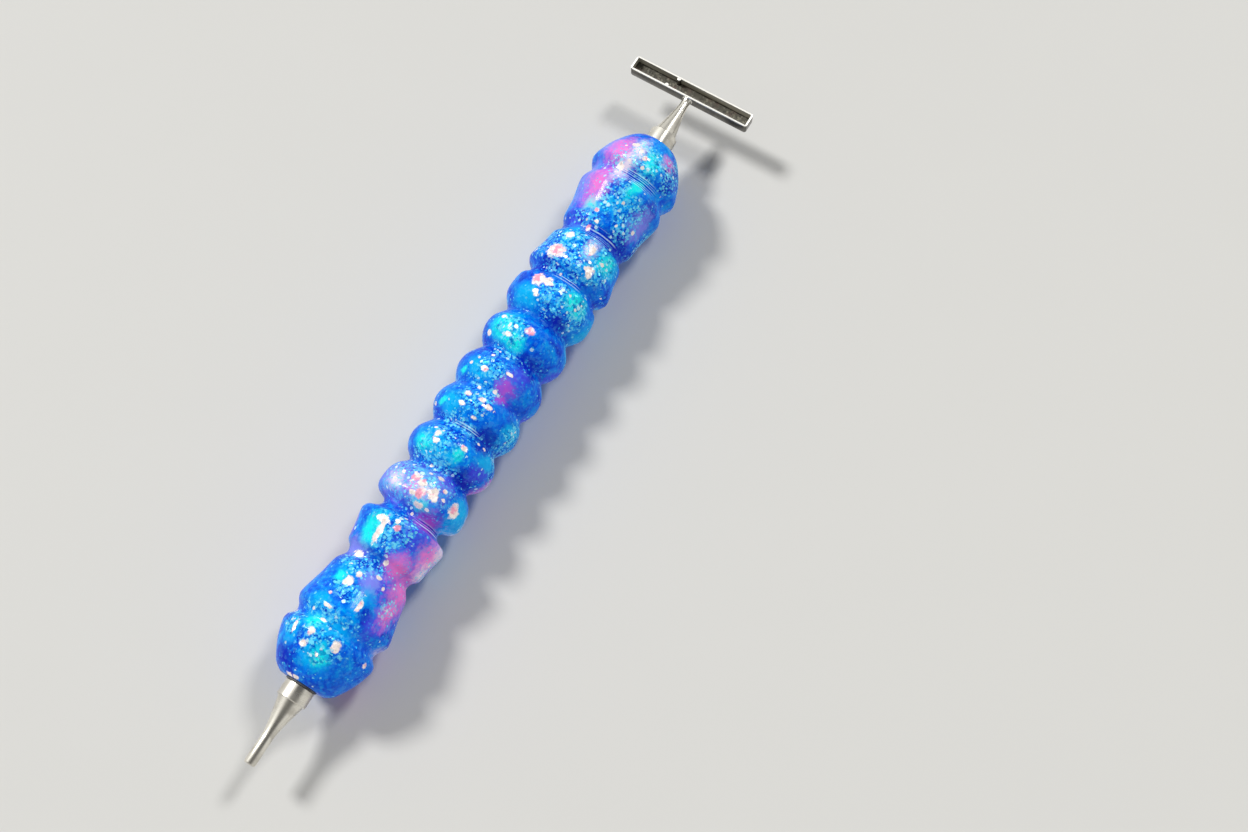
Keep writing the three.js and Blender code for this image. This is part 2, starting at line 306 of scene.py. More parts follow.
VIOLET_DROPS = [
    ((-39.4, -3.4, 15.6), (3.4, 2.2, 2.8)), ((-45.6, -6.4, 14.4), (2.8, 1.8, 2.8)),
    ((-29.2, -4.2, 15.8), (4.4, 3.4, 3.2)), ((-24.4, 4.2, 15.4), (2.4, 3.4, 3.0)),
    ((-18.2, -3.4, 15.4), (1.6, 2.2, 2.6)), ((-13.6, -6.8, 13.4), (2.2, 1.6, 2.6)),
    ((1.2, -3.2, 16.0), (3.0, 2.2, 2.6)), ((4.8, -4.0, 15.8), (2.2, 2.0, 2.4)),
    ((41.0, 5.4, 15.4), (3.2, 1.8, 2.8)), ((36.4, 3.6, 15.0), (1.8, 3.2, 2.6)),
    ((49.4, 4.4, 15.8), (3.0, 1.5, 2.6)),
]
DEEP_DROPS = [
    ((-15.8, -5.0, 13.6), (2.2, 2.6, 3.0)), ((-8.0, -4.8, 14.2), (2.4, 2.8, 3.0)),
    ((-45.4, -4.4, 16.0), (1.8, 1.6, 2.2)), ((7.2, -3.9, 14.6), (2.2, 2.8, 2.8)),
    ((16.6, -3.6, 14.6), (1.8, 3.0, 2.8)), ((26.0, 2.4, 15.0), (1.6, 3.0, 2.6)),
    ((36.8, -4.6, 13.6), (2.6, 2.8, 3.0)), ((43.6, -6.6, 13.6), (4.2, 1.9, 3.4)),
    ((54.2, -6.8, 13.4), (3.8, 1.6, 3.6)), ((50.8, -1.3, 17.2), (3.8, 0.9, 1.8)),
    ((-57.0, 3.6, 14.4), (2.2, 3.0, 3.0)),
]
LILAC_DROPS = [
    ((-21.6, 4.4, 15.6), (3.4, 5.8, 4.4)), ((-20.8, -0.6, 16.8), (3.6, 4.4, 3.2)),
    ((-29.4, -8.2, 11.0), (3.8, 2.2, 4.0)), ((-35.4, 4.4, 13.8), (1.8, 3.2, 2.8)),
    ((-39.6, -2.2, 16.0), (2.0, 1.6, 2.0)), ((44.8, 6.4, 14.0), (5.0, 1.6, 3.0)),
    ((54.0, 5.8, 14.2), (3.4, 1.8, 3.0)), ((41.8, -6.6, 13.8), (3.4, 1.6, 3.0)),
]
MILKY_DROPS = [
    ((-21.8, 4.4, 15.8), (1.2, 1.8, 2.2)), ((-21.4, -0.8, 17.0), (1.3, 1.7, 2.0)),
    ((-29.2, -8.6, 10.0), (2.6, 1.2, 3.0)), ((-34.4, -7.8, 10.4), (2.6, 1.2, 2.8)),
    ((54.2, 0.4, 17.2), (4.2, 1.5, 2.4)), ((48.6, 1.6, 17.0), (2.4, 0.9, 2.0)),
    ((32.4, -2.4, 16.2), (2.0, 1.2, 2.0)), ((50.4, 1.0, 17.2), (3.8, 1.2, 2.2)),
]
# Where mica and glitter gather.
GLITTER_CLOUDS = [
    ((-52.6, -0.4, 17.4), (3.4, 4.0, 3.0)), ((-51.6, 5.6, 14.6), (2.6, 1.8, 3.0)),
    ((-48.0, 1.0, 16.4), (1.8, 5.2, 3.0)), ((-42.6, 0.4, 17.0), (1.6, 3.4, 2.2)),
    ((-37.4, 1.2, 15.4), (2.2, 4.2, 3.0)), ((-42.4, -6.4, 13.2), (2.2, 1.2, 2.4)),
    ((-29.8, -0.4, 17.0), (4.0, 3.6, 3.0)), ((-21.0, 1.4, 16.4), (4.0, 6.8, 5.0)),
    ((-15.8, 0.6, 15.0), (1.8, 4.4, 3.0)), ((-11.8, 0.8, 17.0), (3.2, 4.0, 3.0)),
    ((-8.0, 0.6, 15.0), (1.4, 4.0, 3.0)), ((-3.4, 0.2, 17.0), (3.2, 3.2, 3.0)),
    ((0.2, 0.4, 15.4), (1.2, 3.4, 2.6)), ((3.6, 0.6, 17.0), (2.4, 3.0, 2.8)),
    ((8.0, 1.0, 15.4), (1.4, 3.2, 2.6)), ((11.8, 1.6, 16.8), (2.6, 3.4, 2.8)),
    ((20.8, -2.0, 16.6), (3.4, 4.4, 3.2)), ((26.4, -1.0, 15.4), (1.4, 4.0, 3.0)),
    ((31.0, -0.4, 17.0), (4.4, 5.6, 4.0)), ((37.8, 2.6, 15.8), (1.6, 3.4, 3.0)),
    ((41.0, -4.8, 15.4), (4.8, 3.0, 3.4)), ((52.8, -2.4, 17.0), (4.4, 3.0, 3.0)),
    ((50.8, 3.0, 16.8), (2.8, 1.6, 2.6)), ((20.6, -6.0, 14.2), (3.0, 2.6, 3.4)),
    ((30.6, -5.4, 14.4), (3.8, 3.0, 4.0)), ((31.2, 6.0, 14.2), (3.4, 2.6, 3.6)),
    ((43.6, -0.6, 17.0), (4.0, 2.4, 3.0)), ((54.4, -0.6, 17.2), (3.8, 2.6, 3.2)),
    ((53.4, -6.4, 14.0), (3.8, 2.2, 3.4)),
]
SPARE_ALONG_MM = 58
SPARE_OUT_MM = 7


def spare_drops(count, seed, reach):
    """Drops for the underside, which the photograph doesn't show."""
    dice = random.Random(seed)
    found = []
    for _ in range(count):
        along = dice.uniform(-SPARE_ALONG_MM, SPARE_ALONG_MM)
        angle = math.radians(dice.uniform(170, 370))
        across = SPARE_OUT_MM * math.cos(angle)
        up = AXIS_HEIGHT / MM + SPARE_OUT_MM * math.sin(angle)
        widths = (reach * dice.uniform(0.7, 1.6), reach * dice.uniform(0.5, 1.2), reach)
        found.append(((along, across, up), widths))
    return found


CYAN_DROPS += spare_drops(16, 3, 2.8)
PINK_DROPS += spare_drops(9, 8, 2.4)
VIOLET_DROPS += spare_drops(9, 21, 2.6)
DEEP_DROPS += spare_drops(9, 55, 2.6)
MILKY_DROPS += spare_drops(5, 34, 2.0)
GLITTER_CLOUDS += spare_drops(14, 89, 3.4)
print("dye drops:", len(CYAN_DROPS), "cyan,", len(PINK_DROPS), "pink,", len(VIOLET_DROPS), "violet")

# %% [markdown]
# Big flakes are mixed in last and stay few, so the ones in sight are placed one by one, each as
# a small drop. A few of the cream ones are painted highlights, not flakes. The small glitter is
# far too fine to place, and a later cell scatters it.

# %% Big flakes
# Each flake is its place along, across and up, then half its length and half its width.
CREAM_FLAKES_AND_HIGHLIGHTS = [
    ((-41.4, 1.2, 16.6), 1.15, 1.0), ((-39.4, 0.2, 16.4), 0.7, 0.6), ((-44.6, 2.5, 17.1), 0.36, 0.36),
    ((-51.8, -3.5, 17.0), 1.15, 0.95), ((-51.7, 1.4, 17.7), 0.95, 0.7), ((-54.0, 1.6, 17.0), 0.7, 0.8),
    ((-54.5, -1.4, 16.9), 0.36, 0.36), ((-46.7, 1.4, 17.7), 0.4, 0.95), ((-49.0, 1.0, 16.7), 0.3, 0.7),
    # Painted highlights among these: the two at -59.3 and -59.2 by the nose end, and the T of two at -31.4
    # and -29.3.
    ((-44.1, -3.0, 16.8), 1.25, 0.5), ((-52.3, 4.6, 16.4), 1.3, 0.4), ((-59.3, 1.5, 13.2), 0.4, 0.9),
    ((-59.2, 0.4, 13.7), 0.35, 0.8), ((-51.6, -8.2, 12.3), 0.6, 0.4), ((-31.4, 1.5, 16.6), 2.9, 0.62),
    ((-29.3, 2.0, 16.6), 0.75, 1.7), ((-38.2, -2.7, 15.4), 0.35, 0.7), ((-39.4, -4.3, 15.0), 0.4, 0.4),
    ((-35.3, -2.2, 14.9), 0.7, 0.5), ((-36.2, 2.9, 14.3), 0.7, 1.2), ((-21.9, -3.6, 16.4), 0.9, 0.5),
    ((-11.5, 2.4, 16.7), 0.85, 0.75), ((-12.9, 1.9, 17.0), 0.6, 0.8), ((-11.6, -3.0, 16.5), 0.6, 0.8),
    ((-2.6, 1.9, 16.8), 0.6, 0.8), ((-2.4, -1.0, 16.9), 0.7, 0.7), ((-3.1, -2.6, 16.7), 0.6, 0.8),
    ((-4.8, 1.7, 17.0), 0.5, 0.7), ((-6.0, -1.4, 16.7), 0.4, 0.6), ((-0.5, 1.0, 15.9), 0.4, 0.4),
    ((2.7, 1.8, 17.0), 0.6, 0.8), ((4.0, -2.6, 16.8), 0.4, 0.8), ((2.9, 4.7, 15.7), 0.4, 0.4),
    ((10.6, 1.9, 16.6), 0.6, 0.6), ((9.8, 5.6, 14.0), 0.7, 0.7), ((13.3, 4.5, 15.6), 0.5, 0.6),
    ((22.4, 0.4, 17.2), 0.5, 0.7), ((19.5, 1.5, 17.0), 0.5, 0.6), ((33.1, 2.5, 15.9), 0.8, 0.9),
    ((22.6, 1.0, 17.1), 1.1, 0.9), ((22.3, 2.6, 16.8), 1.6, 1.5), ((28.9, 3.0, 16.5), 1.7, 2.1),
    ((49.4, 1.6, 16.8), 0.9, 0.7), ((54.0, -0.2, 17.6), 0.9, 0.6), ((52.8, -1.6, 17.2), 0.6, 0.6),
    ((55.2, 1.2, 16.8), 0.7, 0.5), ((19.9, 1.8, 17.0), 0.6, 0.7), ((32.3, -2.6, 15.9), 1.3, 0.6),
    ((28.4, -4.2, 16.1), 1.2, 0.9), ((54.6, 1.8, 16.6), 0.5, 0.5), ((-21.2, -2.8, 16.7), 1.2, 0.9),
    ((-20.6, -0.4, 17.2), 0.8, 0.9), ((-22.9, 0.2, 17.3), 0.6, 0.8), ((-18.0, -2.4, 15.6), 0.5, 0.8),
    ((-20.3, 3.8, 16.2), 0.4, 0.5), ((-22.0, 4.6, 15.9), 0.4, 0.5), ((-24.2, -1.6, 16.2), 0.7, 1.0),
    ((-19.7, -4.2, 15.8), 0.4, 0.5), ((-21.6, -6.8, 13.5), 1.5, 1.1), ((-19.9, 6.0, 14.6), 0.4, 0.4),
    ((-22.6, 2.9, 16.6), 0.35, 0.4), ((27.7, -4.6, 16.0), 0.7, 0.5),
]
PINK_FLAKES = [
    ((-20.2, 1.2, 17.0), 0.8, 0.9), ((-22.3, -1.0, 17.2), 1.2, 1.0), ((-21.4, -6.6, 13.8), 0.9, 0.7),
    ((-29.5, -1.0, 17.0), 0.7, 0.7), ((12.8, -1.4, 16.9), 0.95, 1.0), ((22.5, 3.0, 16.6), 1.1, 1.0),
    ((29.0, 2.8, 16.6), 1.1, 1.5), ((39.7, 0.9, 16.4), 0.5, 0.5), ((36.1, 0.7, 15.4), 0.8, 0.5),
]
print("placed flakes:", len(CREAM_FLAKES_AND_HIGHLIGHTS), "white,", len(PINK_FLAKES), "pink")

# %% [markdown]
# A drop is a soft ball of colour. It takes two sums: the first moves and shrinks the place until
# the drop is a ball of radius 1 round zero, and the second measures how far out each point is.
# The nearest drop then decides, and with some softness neighbours melt into one. A texture for
# each drop would do the same, but some two hundred of them are too heavy for one material.


# %% Nearest drop
def nearest(tree, place, drops, softness):
    """How far each point is from the nearest drop: 0 at its middle and 1 at its rim."""
    closest = None
    for middle, widths in drops:
        shrink = [1 / width for width in widths]
        shift = [-there / width for there, width in zip(middle, widths)]
        local = vector_maths(tree, "MULTIPLY_ADD", place, shrink, shift)
        reach = vector_maths(tree, "LENGTH", local)
        if closest is None:
            closest = reach
        elif softness:
            closest = maths(tree, "SMOOTH_MIN", closest, reach, softness)
        else:
            closest = maths(tree, "MINIMUM", closest, reach)
    return closest


def flake_widths(flakes):
    """Flakes as drops that are as deep as they are wide."""
    return [(middle, (length, width, max(length, width))) for middle, length, width in flakes]


# %% [markdown]
# The resin finish is layered the way light finds it. At the bottom lies the blue dye with its
# slow swirls, and clear dyes melt into it: deep blue, violet, lilac and cyan. Mica breaks all of
# that into a fine mosaic. Magenta, pink and milky dye is cloudy and lies over the mica, with
# some more of the lilac. Glitter, the marks of the lathe tool and the big flakes come last.

# %% Resin colours
DEEP_BLUE = colour(0, 26, 176)
BLUE = colour(0, 84, 220)
AZURE = colour(0, 122, 234)
CYAN = colour(0, 178, 238)
AQUA = colour(24, 234, 228)
VIOLET = colour(66, 72, 226)
LILAC = colour(128, 136, 236)
PINK = colour(238, 120, 204)
MAGENTA = colour(184, 84, 204)
MILKY = colour(230, 218, 234)
SPARK_BLUE = colour(44, 184, 246)
SPARK_CYAN = colour(118, 222, 244)
SPARK_WHITE = colour(200, 234, 248)
FLAKE_CREAM = colour(246, 232, 226)
FLAKE_PINK = colour(238, 160, 186)
# Each dye is its drops, its shade and its strength.
CLEAR_DYES = (
    (DEEP_DROPS, DEEP_BLUE, 0.85), (VIOLET_DROPS, VIOLET, 0.8), (LILAC_DROPS, LILAC, 0.75),
    (CYAN_DROPS, CYAN, 0.85), (AQUA_DROPS, AQUA, 0.9),
)
CLOUDY_DYES = (
    (LILAC_DROPS, LILAC, 0.55), (MAGENTA_DROPS, MAGENTA, 0.85), (PINK_DROPS, PINK, 0.9),
    (MILKY_DROPS, MILKY, 0.9),
)
print("dyes:", len(CLEAR_DYES), "clear and", len(CLOUDY_DYES), "cloudy")

# %% [markdown]
# Poured resin carries its dye along in slow currents. Noise can do that to a pattern: its colour
# less one half is a small push in a random direction, and it is added to the place before the
# pattern reads it. The same trick roughens an edge: noise is added to the distance from a drop.
# The grooves get a painted shade of deeper blue, except near the ends.

# %% Dyes
DROPS_MELT = 0.3
# How noise frays the edge of a drop, as a factor and an offset.
CLEAR_FRAY = (1.4, -0.7)
CLOUDY_FRAY = (2.0, -1.0)
# The frayed distances at which a dye starts to show and is at its full strength.
CLEAR_EDGE = (1.35, 0.45)
CLOUDY_EDGE = (1.7, 0.05)
CURRENT_REACH = 3.0
EDDY_REACH = 1.5
HALF = (0.5, 0.5, 0.5)
BEAD_RADIUS_MM = 7.7
GROOVE_RADIUS_MM = 6.3
ENDS_FROM_MM = 49.0
ENDS_TO_MM = 54.0


def swirled_place(tree, place):
    """The place carried along by a slow current and by small eddies."""
    current = noise(tree, place, 0.16, 2.0, output="Color")
    eddy = noise(tree, place, 0.7, 3.0, 0.6, output="Color")
    moved = place
    for source, reach in ((current, CURRENT_REACH), (eddy, EDDY_REACH)):
        push = vector_maths(tree, "SUBTRACT", source, HALF)
        moved = vector_maths(tree, "MULTIPLY_ADD", push, (reach, reach, reach), moved)
    return moved


def blue_swirl(tree, place):
    ramp = add_node(tree, "ShaderNodeValToRGB", {0: noise(tree, place, 0.2, 6.0, 0.62, 1.2)})
    stops = ramp.color_ramp.elements
    stops[0].position, stops[0].color = 0.28, DEEP_BLUE
    stops[1].position, stops[1].color = 0.44, BLUE
    for position, shade in ((0.58, AZURE), (0.74, CYAN)):
        stops.new(position).color = shade
    return ramp.outputs[0]


# Painted shade: below the beads' radius the body is blended towards deep blue, except near the ends.
def paint_groove_shade(tree, place, body):
    across = vector_maths(tree, "MULTIPLY_ADD", place, (0, 1, 1), (0, 0, -AXIS_HEIGHT / MM))
    radius = vector_maths(tree, "LENGTH", across)
    from_middle = maths(tree, "ABSOLUTE", one_axis(tree, place, "X"))
    between_ends = fade(tree, from_middle, ENDS_TO_MM, ENDS_FROM_MM)
    painted_groove_shade = fade(tree, radius, BEAD_RADIUS_MM, GROOVE_RADIUS_MM, 0.0, 0.6)
    return blend_colours(tree, maths(tree, "MULTIPLY", painted_groove_shade, between_ends), body, DEEP_BLUE)


def lay_dyes(tree, place, dyes, fray, edge, body):
    """Blends the drops of some dyes into the body."""
    for drops, shade, strength in dyes:
        apart = maths(tree, "ADD", nearest(tree, place, drops, DROPS_MELT), fray)
        body = blend_colours(tree, fade(tree, apart, *edge, 0.0, strength), body, shade)
    return body


print("currents carry the dye up to", CURRENT_REACH / 2, "mm and eddies", EDDY_REACH / 2, "mm")

# %% [markdown]
# Mica and glitter come from Voronoi cells, each of which has a random colour. One part of that
# colour makes a mica cell lighter or darker than the dye. For glitter it decides whether a cell
# shows a speck at all, and the speck is the part of the cell near its middle. Both lie thickest
# in the glitter clouds that are listed with the drops.

# %% Mica and glitter
# Each mosaic is its cell in millimetres, and the strength and shade of its light cells.
MICA_MOSAICS = ((0.9, 0.5, SPARK_BLUE), (0.48, 0.8, SPARK_CYAN))
# Each layer is its cell and share of cells, the largest speck in cells, its shade and strength.
GLITTER_LAYERS = (
    (0.4, 0.9, 0.6, SPARK_BLUE, 0.6),
    (0.6, 0.75, 0.5, SPARK_CYAN, 0.7),
    (0.95, 0.32, 0.42, SPARK_WHITE, 0.85),
    (1.5, 0.36, 0.3, FLAKE_CREAM, 0.95),
)


def glitter_density(tree, place, fray):
    """How thick the glitter lies: most in its clouds, and a little everywhere."""
    cloud = noise(tree, place, 0.3, 3.0, 0.6)
    gathered = maths(tree, "ADD", nearest(tree, place, GLITTER_CLOUDS, 0.2), fray)
    settled = fade(tree, gathered, 1.3, 0.6, 0.1, 1.0)
    return maths(tree, "MULTIPLY", fade(tree, cloud, 0.36, 0.6, 0.5, 1.0), settled)


def crumpled_place(tree, place):
    """The place shaken a little, so that the cells lose their straight edges."""
    shake = noise(tree, place, 2.4, 2.0, 0.6, output="Color")
    return vector_maths(tree, "MULTIPLY_ADD", shake, HALF, place)


def lay_mica(tree, place, density, body):
    strewn = fade(tree, density, 0.1, 0.75, 0.14, 1.0)
    for cell, lighter, shade in MICA_MOSAICS:
        mica = add_node(tree, "ShaderNodeTexVoronoi", {"Vector": place, "Scale": 1 / cell})
        tone = add_node(tree, "ShaderNodeSeparateColor", {0: mica.outputs["Color"]}).outputs[1]
        light_cells = maths(tree, "MULTIPLY", fade(tree, tone, 0.6, 1.0, 0.0, lighter), strewn)
        body = blend_colours(tree, light_cells, body, shade)
        dark_cells = maths(tree, "MULTIPLY", fade(tree, tone, 0.42, 0.0, 0.0, 0.65), strewn)
        body = blend_colours(tree, dark_cells, body, DEEP_BLUE)
    return body


def glitter(tree, place, cell, share, size, density):
    """Specks in cells of one size. Gives the mask, and a random colour for each cell."""
    inputs = {"Vector": place, "Scale": 1 / cell, "Randomness": 1.0}
    cells = add_node(tree, "ShaderNodeTexVoronoi", inputs, distance="EUCLIDEAN")
    parts = add_node(tree, "ShaderNodeSeparateColor", {0: cells.outputs["Color"]}).outputs
    chosen = maths(tree, "LESS_THAN", parts[0], maths(tree, "MULTIPLY", density, share))
    wide = maths(tree, "MULTIPLY_ADD", parts[1], size / 2, size / 2)
    inside = maths(tree, "LESS_THAN", cells.outputs["Distance"], wide)
    return maths(tree, "MULTIPLY", chosen, inside), cells.outputs["Color"]


def lay_glitter(tree, place, density, body):
    """Specks of all sizes. Gives the body, the mask of every speck and their random colours."""
    specks = None
    for cell, share, size, shade, strength in GLITTER_LAYERS:
        mask, random_colour = glitter(tree, place, cell, share, size, density)
        body = blend_colours(tree, maths(tree, "MULTIPLY", mask, strength), body, shade)
        if specks is None:
            specks, speck_colour = mask, random_colour
        else:
            specks = maths(tree, "MAXIMUM", specks, mask)
            speck_colour = blend_colours(tree, mask, speck_colour, random_colour)
    return body, specks, speck_colour


print("mica mosaics:", len(MICA_MOSAICS), "and glitter layers:", len(GLITTER_LAYERS))

# %% [markdown]
# A lathe tool leaves fine dark and pale lines at the foot of some beads. They reuse the shared
# rings, shown only inside a few placed drops. The big flakes are drops too: noise makes their
# edges jagged, and a second noise mottles them from cream to pink.

# %% Tool marks and flakes
# Where the tool left marks, as places with half widths.
TOOL_MARKS = [
    ((48.8, -2.8, 16.0), (1.5, 4.6, 5.0)),
    ((35.9, -1.8, 15.0), (1.5, 4.6, 5.0)),
    ((-26.2, -4.6, 13.0), (0.9, 3.2, 5.0)),
    ((-8.0, -1.0, 14.6), (0.7, 3.0, 4.0)),
    ((24.8, -1.6, 14.8), (0.8, 3.4, 4.0)),
]
MARK_SPACING_MM = 0.32
# Each line is where it starts and ends in the height of the rings, its strength and its shade.
MARK_LINES = ((0.5, 0.4, 0.75, DEEP_BLUE), (0.52, 0.6, 0.7, SPARK_WHITE))
CREAM_UP_TO = 0.58
PINK_FROM = 0.36
MOTTLE_BLUR = 0.16


def lay_tool_marks(tree, place, wisp, body):
    lines = use_group(tree, TURNING_RINGS, Place=place, Spacing=MARK_SPACING_MM)
    marked = fade(tree, nearest(tree, place, TOOL_MARKS, 0), 1.0, 0.6)
    marked = maths(tree, "MULTIPLY", marked, fade(tree, wisp, 0.32, 0.5, 0.3, 1.0))
    for start, end, strength, shade in MARK_LINES:
        line = maths(tree, "MULTIPLY", fade(tree, lines, start, end, 0.0, strength), marked)
        body = blend_colours(tree, line, body, shade)
    return body


def lay_flakes(tree, place, body, specks):
    """The placed flakes and painted highlights. Gives the body, and the mask of every speck, flake and
    painted highlight.
    """
    jagged = maths(tree, "MULTIPLY_ADD", noise(tree, place, 1.3, 4.0, 0.7), 1.8, -0.8)
    mottle = noise(tree, place, 0.9, 2.0)
    for flakes, start in ((CREAM_FLAKES_AND_HIGHLIGHTS, CREAM_UP_TO), (PINK_FLAKES, PINK_FROM)):
        apart = maths(tree, "ADD", nearest(tree, place, flake_widths(flakes), 0), jagged)
        pinkness = fade(tree, mottle, start, start + MOTTLE_BLUR)
        face = blend_colours(tree, pinkness, FLAKE_CREAM, FLAKE_PINK)
        mask = fade(tree, apart, 1.15, 0.75)
        body = blend_colours(tree, mask, body, face)
        specks = maths(tree, "MAXIMUM", specks, mask)
    return body, specks


print("tool marks:", len(TOOL_MARKS))

# %% [markdown]
# Now the layers are stacked. The outside is polished, so a smooth clear coat lies over all of
# them, while the surface below it leans at random inside each speck, and every flake catches the
# light by itself. Clear resin also passes light on inside itself. Following that light takes
# long and can't be exported, so a small glow of the resin's own colour stands for it, and the
# base colour is dimmed by half as much.

# %% Resin finish
GLOW = 0.36
BLACK = (0, 0, 0, 1)
SPECK_LEAN = 0.8
SPECK_METAL = 0.2
RESIN_RING_SPACING_MM = 0.24
RESIN_RELIEF = 0.04 * MM


def leaning_normal(tree, place, specks, speck_colour):
    """The faint rings of the lathe, with every speck leaning its own way."""
    rings = use_group(tree, TURNING_RINGS, Place=place, Spacing=RESIN_RING_SPACING_MM)
    push = vector_maths(tree, "SUBTRACT", speck_colour, HALF)
    lean = scale_vector(tree, push, maths(tree, "MULTIPLY", specks, SPECK_LEAN))
    tilted = vector_maths(tree, "ADD", bump(tree, rings, 0.25, RESIN_RELIEF), lean)
    return vector_maths(tree, "NORMALIZE", tilted)


def make_resin():
    finish, tree, shader = new_finish("swirled resin")
    place = millimetres(tree)
    swirled = swirled_place(tree, place)
    body = paint_groove_shade(tree, place, blue_swirl(tree, swirled))
    wisp = noise(tree, swirled, 0.9, 5.0, 0.65)
    ragged = maths(tree, "MULTIPLY_ADD", wisp, *CLEAR_FRAY)
    body = blend_colours(tree, fade(tree, wisp, 0.52, 0.72, 0.0, 0.5), body, CYAN)
    body = blend_colours(tree, fade(tree, wisp, 0.46, 0.3, 0.0, 0.5), body, DEEP_BLUE)
    body = lay_dyes(tree, swirled, CLEAR_DYES, ragged, CLEAR_EDGE, body)

    density = glitter_density(tree, swirled, ragged)
    crumpled = crumpled_place(tree, place)
    body = lay_mica(tree, crumpled, density, body)
    frayed = maths(tree, "MULTIPLY_ADD", wisp, *CLOUDY_FRAY)
    body = lay_dyes(tree, swirled, CLOUDY_DYES, frayed, CLOUDY_EDGE, body)
    body, specks, speck_colour = lay_glitter(tree, crumpled, density, body)
    body = lay_tool_marks(tree, place, wisp, body)
    body, specks = lay_flakes(tree, place, body, specks)

    smudge = use_group(tree, SMUDGES, Place=place, Size=5.0)
    set_inputs(tree, shader, {
        "Base Color": blend_colours(tree, GLOW / 2, body, BLACK),
        "Normal": leaning_normal(tree, place, specks, speck_colour),
        "Roughness": fade(tree, smudge, 0.0, 1.0, 0.28, 0.4),
        "Metallic": maths(tree, "MULTIPLY", specks, SPECK_METAL),
        "Emission Color": body,
        "Emission Strength": GLOW,
        "Specular IOR Level": 0.0,
        "Coat Weight": 0.55,
        "Coat Roughness": 0.12,
        "Coat IOR": 1.27,
    })
    print("resin finish:", len(tree.nodes), "nodes")
    return finish


RESIN = make_resin()

# %% [markdown]
# The tips are turned steel, polished and then handled. Bare metal shows almost nothing of its
# own colour: what it shows is how evenly it mirrors the room. So its finish is mostly
# roughness and a very slight relief from the lathe, with dull patches from fingers.

# %% Metal finishes
METAL_RELIEF = 0.03 * MM


def make_metal(name, bright, dull, roughness, spacing, relief, smudge_size):
    """Turned metal. The spacing of its rings and the size of its smudges are in millimetres."""
    finish, tree, shader = new_finish(name)
    place = millimetres(tree)
    smudge = use_group(tree, SMUDGES, Place=place, Size=smudge_size)
    rings = use_group(tree, TURNING_RINGS, Place=place, Spacing=spacing)
    polish = maths(tree, "MULTIPLY_ADD", rings, 0.08, roughness)
    set_inputs(tree, shader, {
        "Base Color": blend_colours(tree, maths(tree, "MULTIPLY", smudge, 0.55), bright, dull),
        "Roughness": maths(tree, "MULTIPLY_ADD", smudge, 0.12, polish),
        "Normal": bump(tree, rings, relief, METAL_RELIEF),
        "Metallic": 1.0,
    })
    return finish


STEEL = make_metal(
    "polished steel", colour(236, 232, 222), colour(172, 166, 156),
    roughness=0.2, spacing=0.12, relief=0.14, smudge_size=3.0,
)
BRASS = make_metal(
    "turned brass", colour(214, 176, 98), colour(150, 112, 56),
    roughness=0.22, spacing=0.16, relief=0.5, smudge_size=2.0,
)
print("metals:", STEEL.name, "and", BRASS.name)

# %% [markdown]
# The trough is folded from thin sheet, so it has no lathe rings. Its rim is rubbed bright by
# drills and fingers, and its sides are painted dark as a painted dark reflection, with smudges.
# The wax is grey and gritty, and it is painted paler on the inner walls, a painted light that
# evens out the shade there. The thin rings under the collars are dark nylon.

# %% Trough, wax and ring finishes
trough_low, trough_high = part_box("placer_trough")
WALL = 0.35 * MM
RIM_HEIGHT = trough_high.z
FLOOR_TOP = trough_low.z + WALL
SHEET_GRAIN = (9.0, 0.5, 9.0)
RUBBED_STEEL = colour(240, 238, 232)
SHADED_SIDE_STEEL = colour(114, 111, 105)
SMUDGED_SHADED_SIDE_STEEL = colour(80, 77, 73)
WAX_GREY = colour(92, 89, 78)
WAX_BROWN = colour(120, 98, 88)
WAX_DARK = colour(50, 48, 42)
WAX_PALE = colour(156, 152, 136)
WALL_WAX_PAINTED_LIGHT = colour(184, 180, 165)
NYLON_GREY = colour(96, 94, 93)
NYLON_WORN = colour(124, 121, 117)


def make_trough_steel():
    finish, tree, shader = new_finish("satin trough steel")
    place = millimetres(tree)
    grain = noise(tree, vector_maths(tree, "MULTIPLY", place, SHEET_GRAIN), 1.0, 4.0)
    smudge = use_group(tree, SMUDGES, Place=place, Size=2.5)
    rim = RIM_HEIGHT / MM
    rubbed = fade(tree, one_axis(tree, place, "Z"), rim - 0.3, rim - 0.1)
    # The sides are painted dark, a painted dark reflection, and the smudges darken them further.
    side = blend_colours(tree, fade(tree, smudge, 0.0, 1.0, 0.1, 0.7), SHADED_SIDE_STEEL, SMUDGED_SHADED_SIDE_STEEL)
    polish = maths(tree, "MULTIPLY_ADD", grain, 0.2, 0.12)
    set_inputs(tree, shader, {
        "Base Color": blend_colours(tree, rubbed, side, RUBBED_STEEL),
        "Roughness": maths(tree, "MULTIPLY_ADD", rubbed, 0.22, polish),
        "Normal": bump(tree, grain, 0.25, METAL_RELIEF),
        "Metallic": 1.0,
    })
    return finish


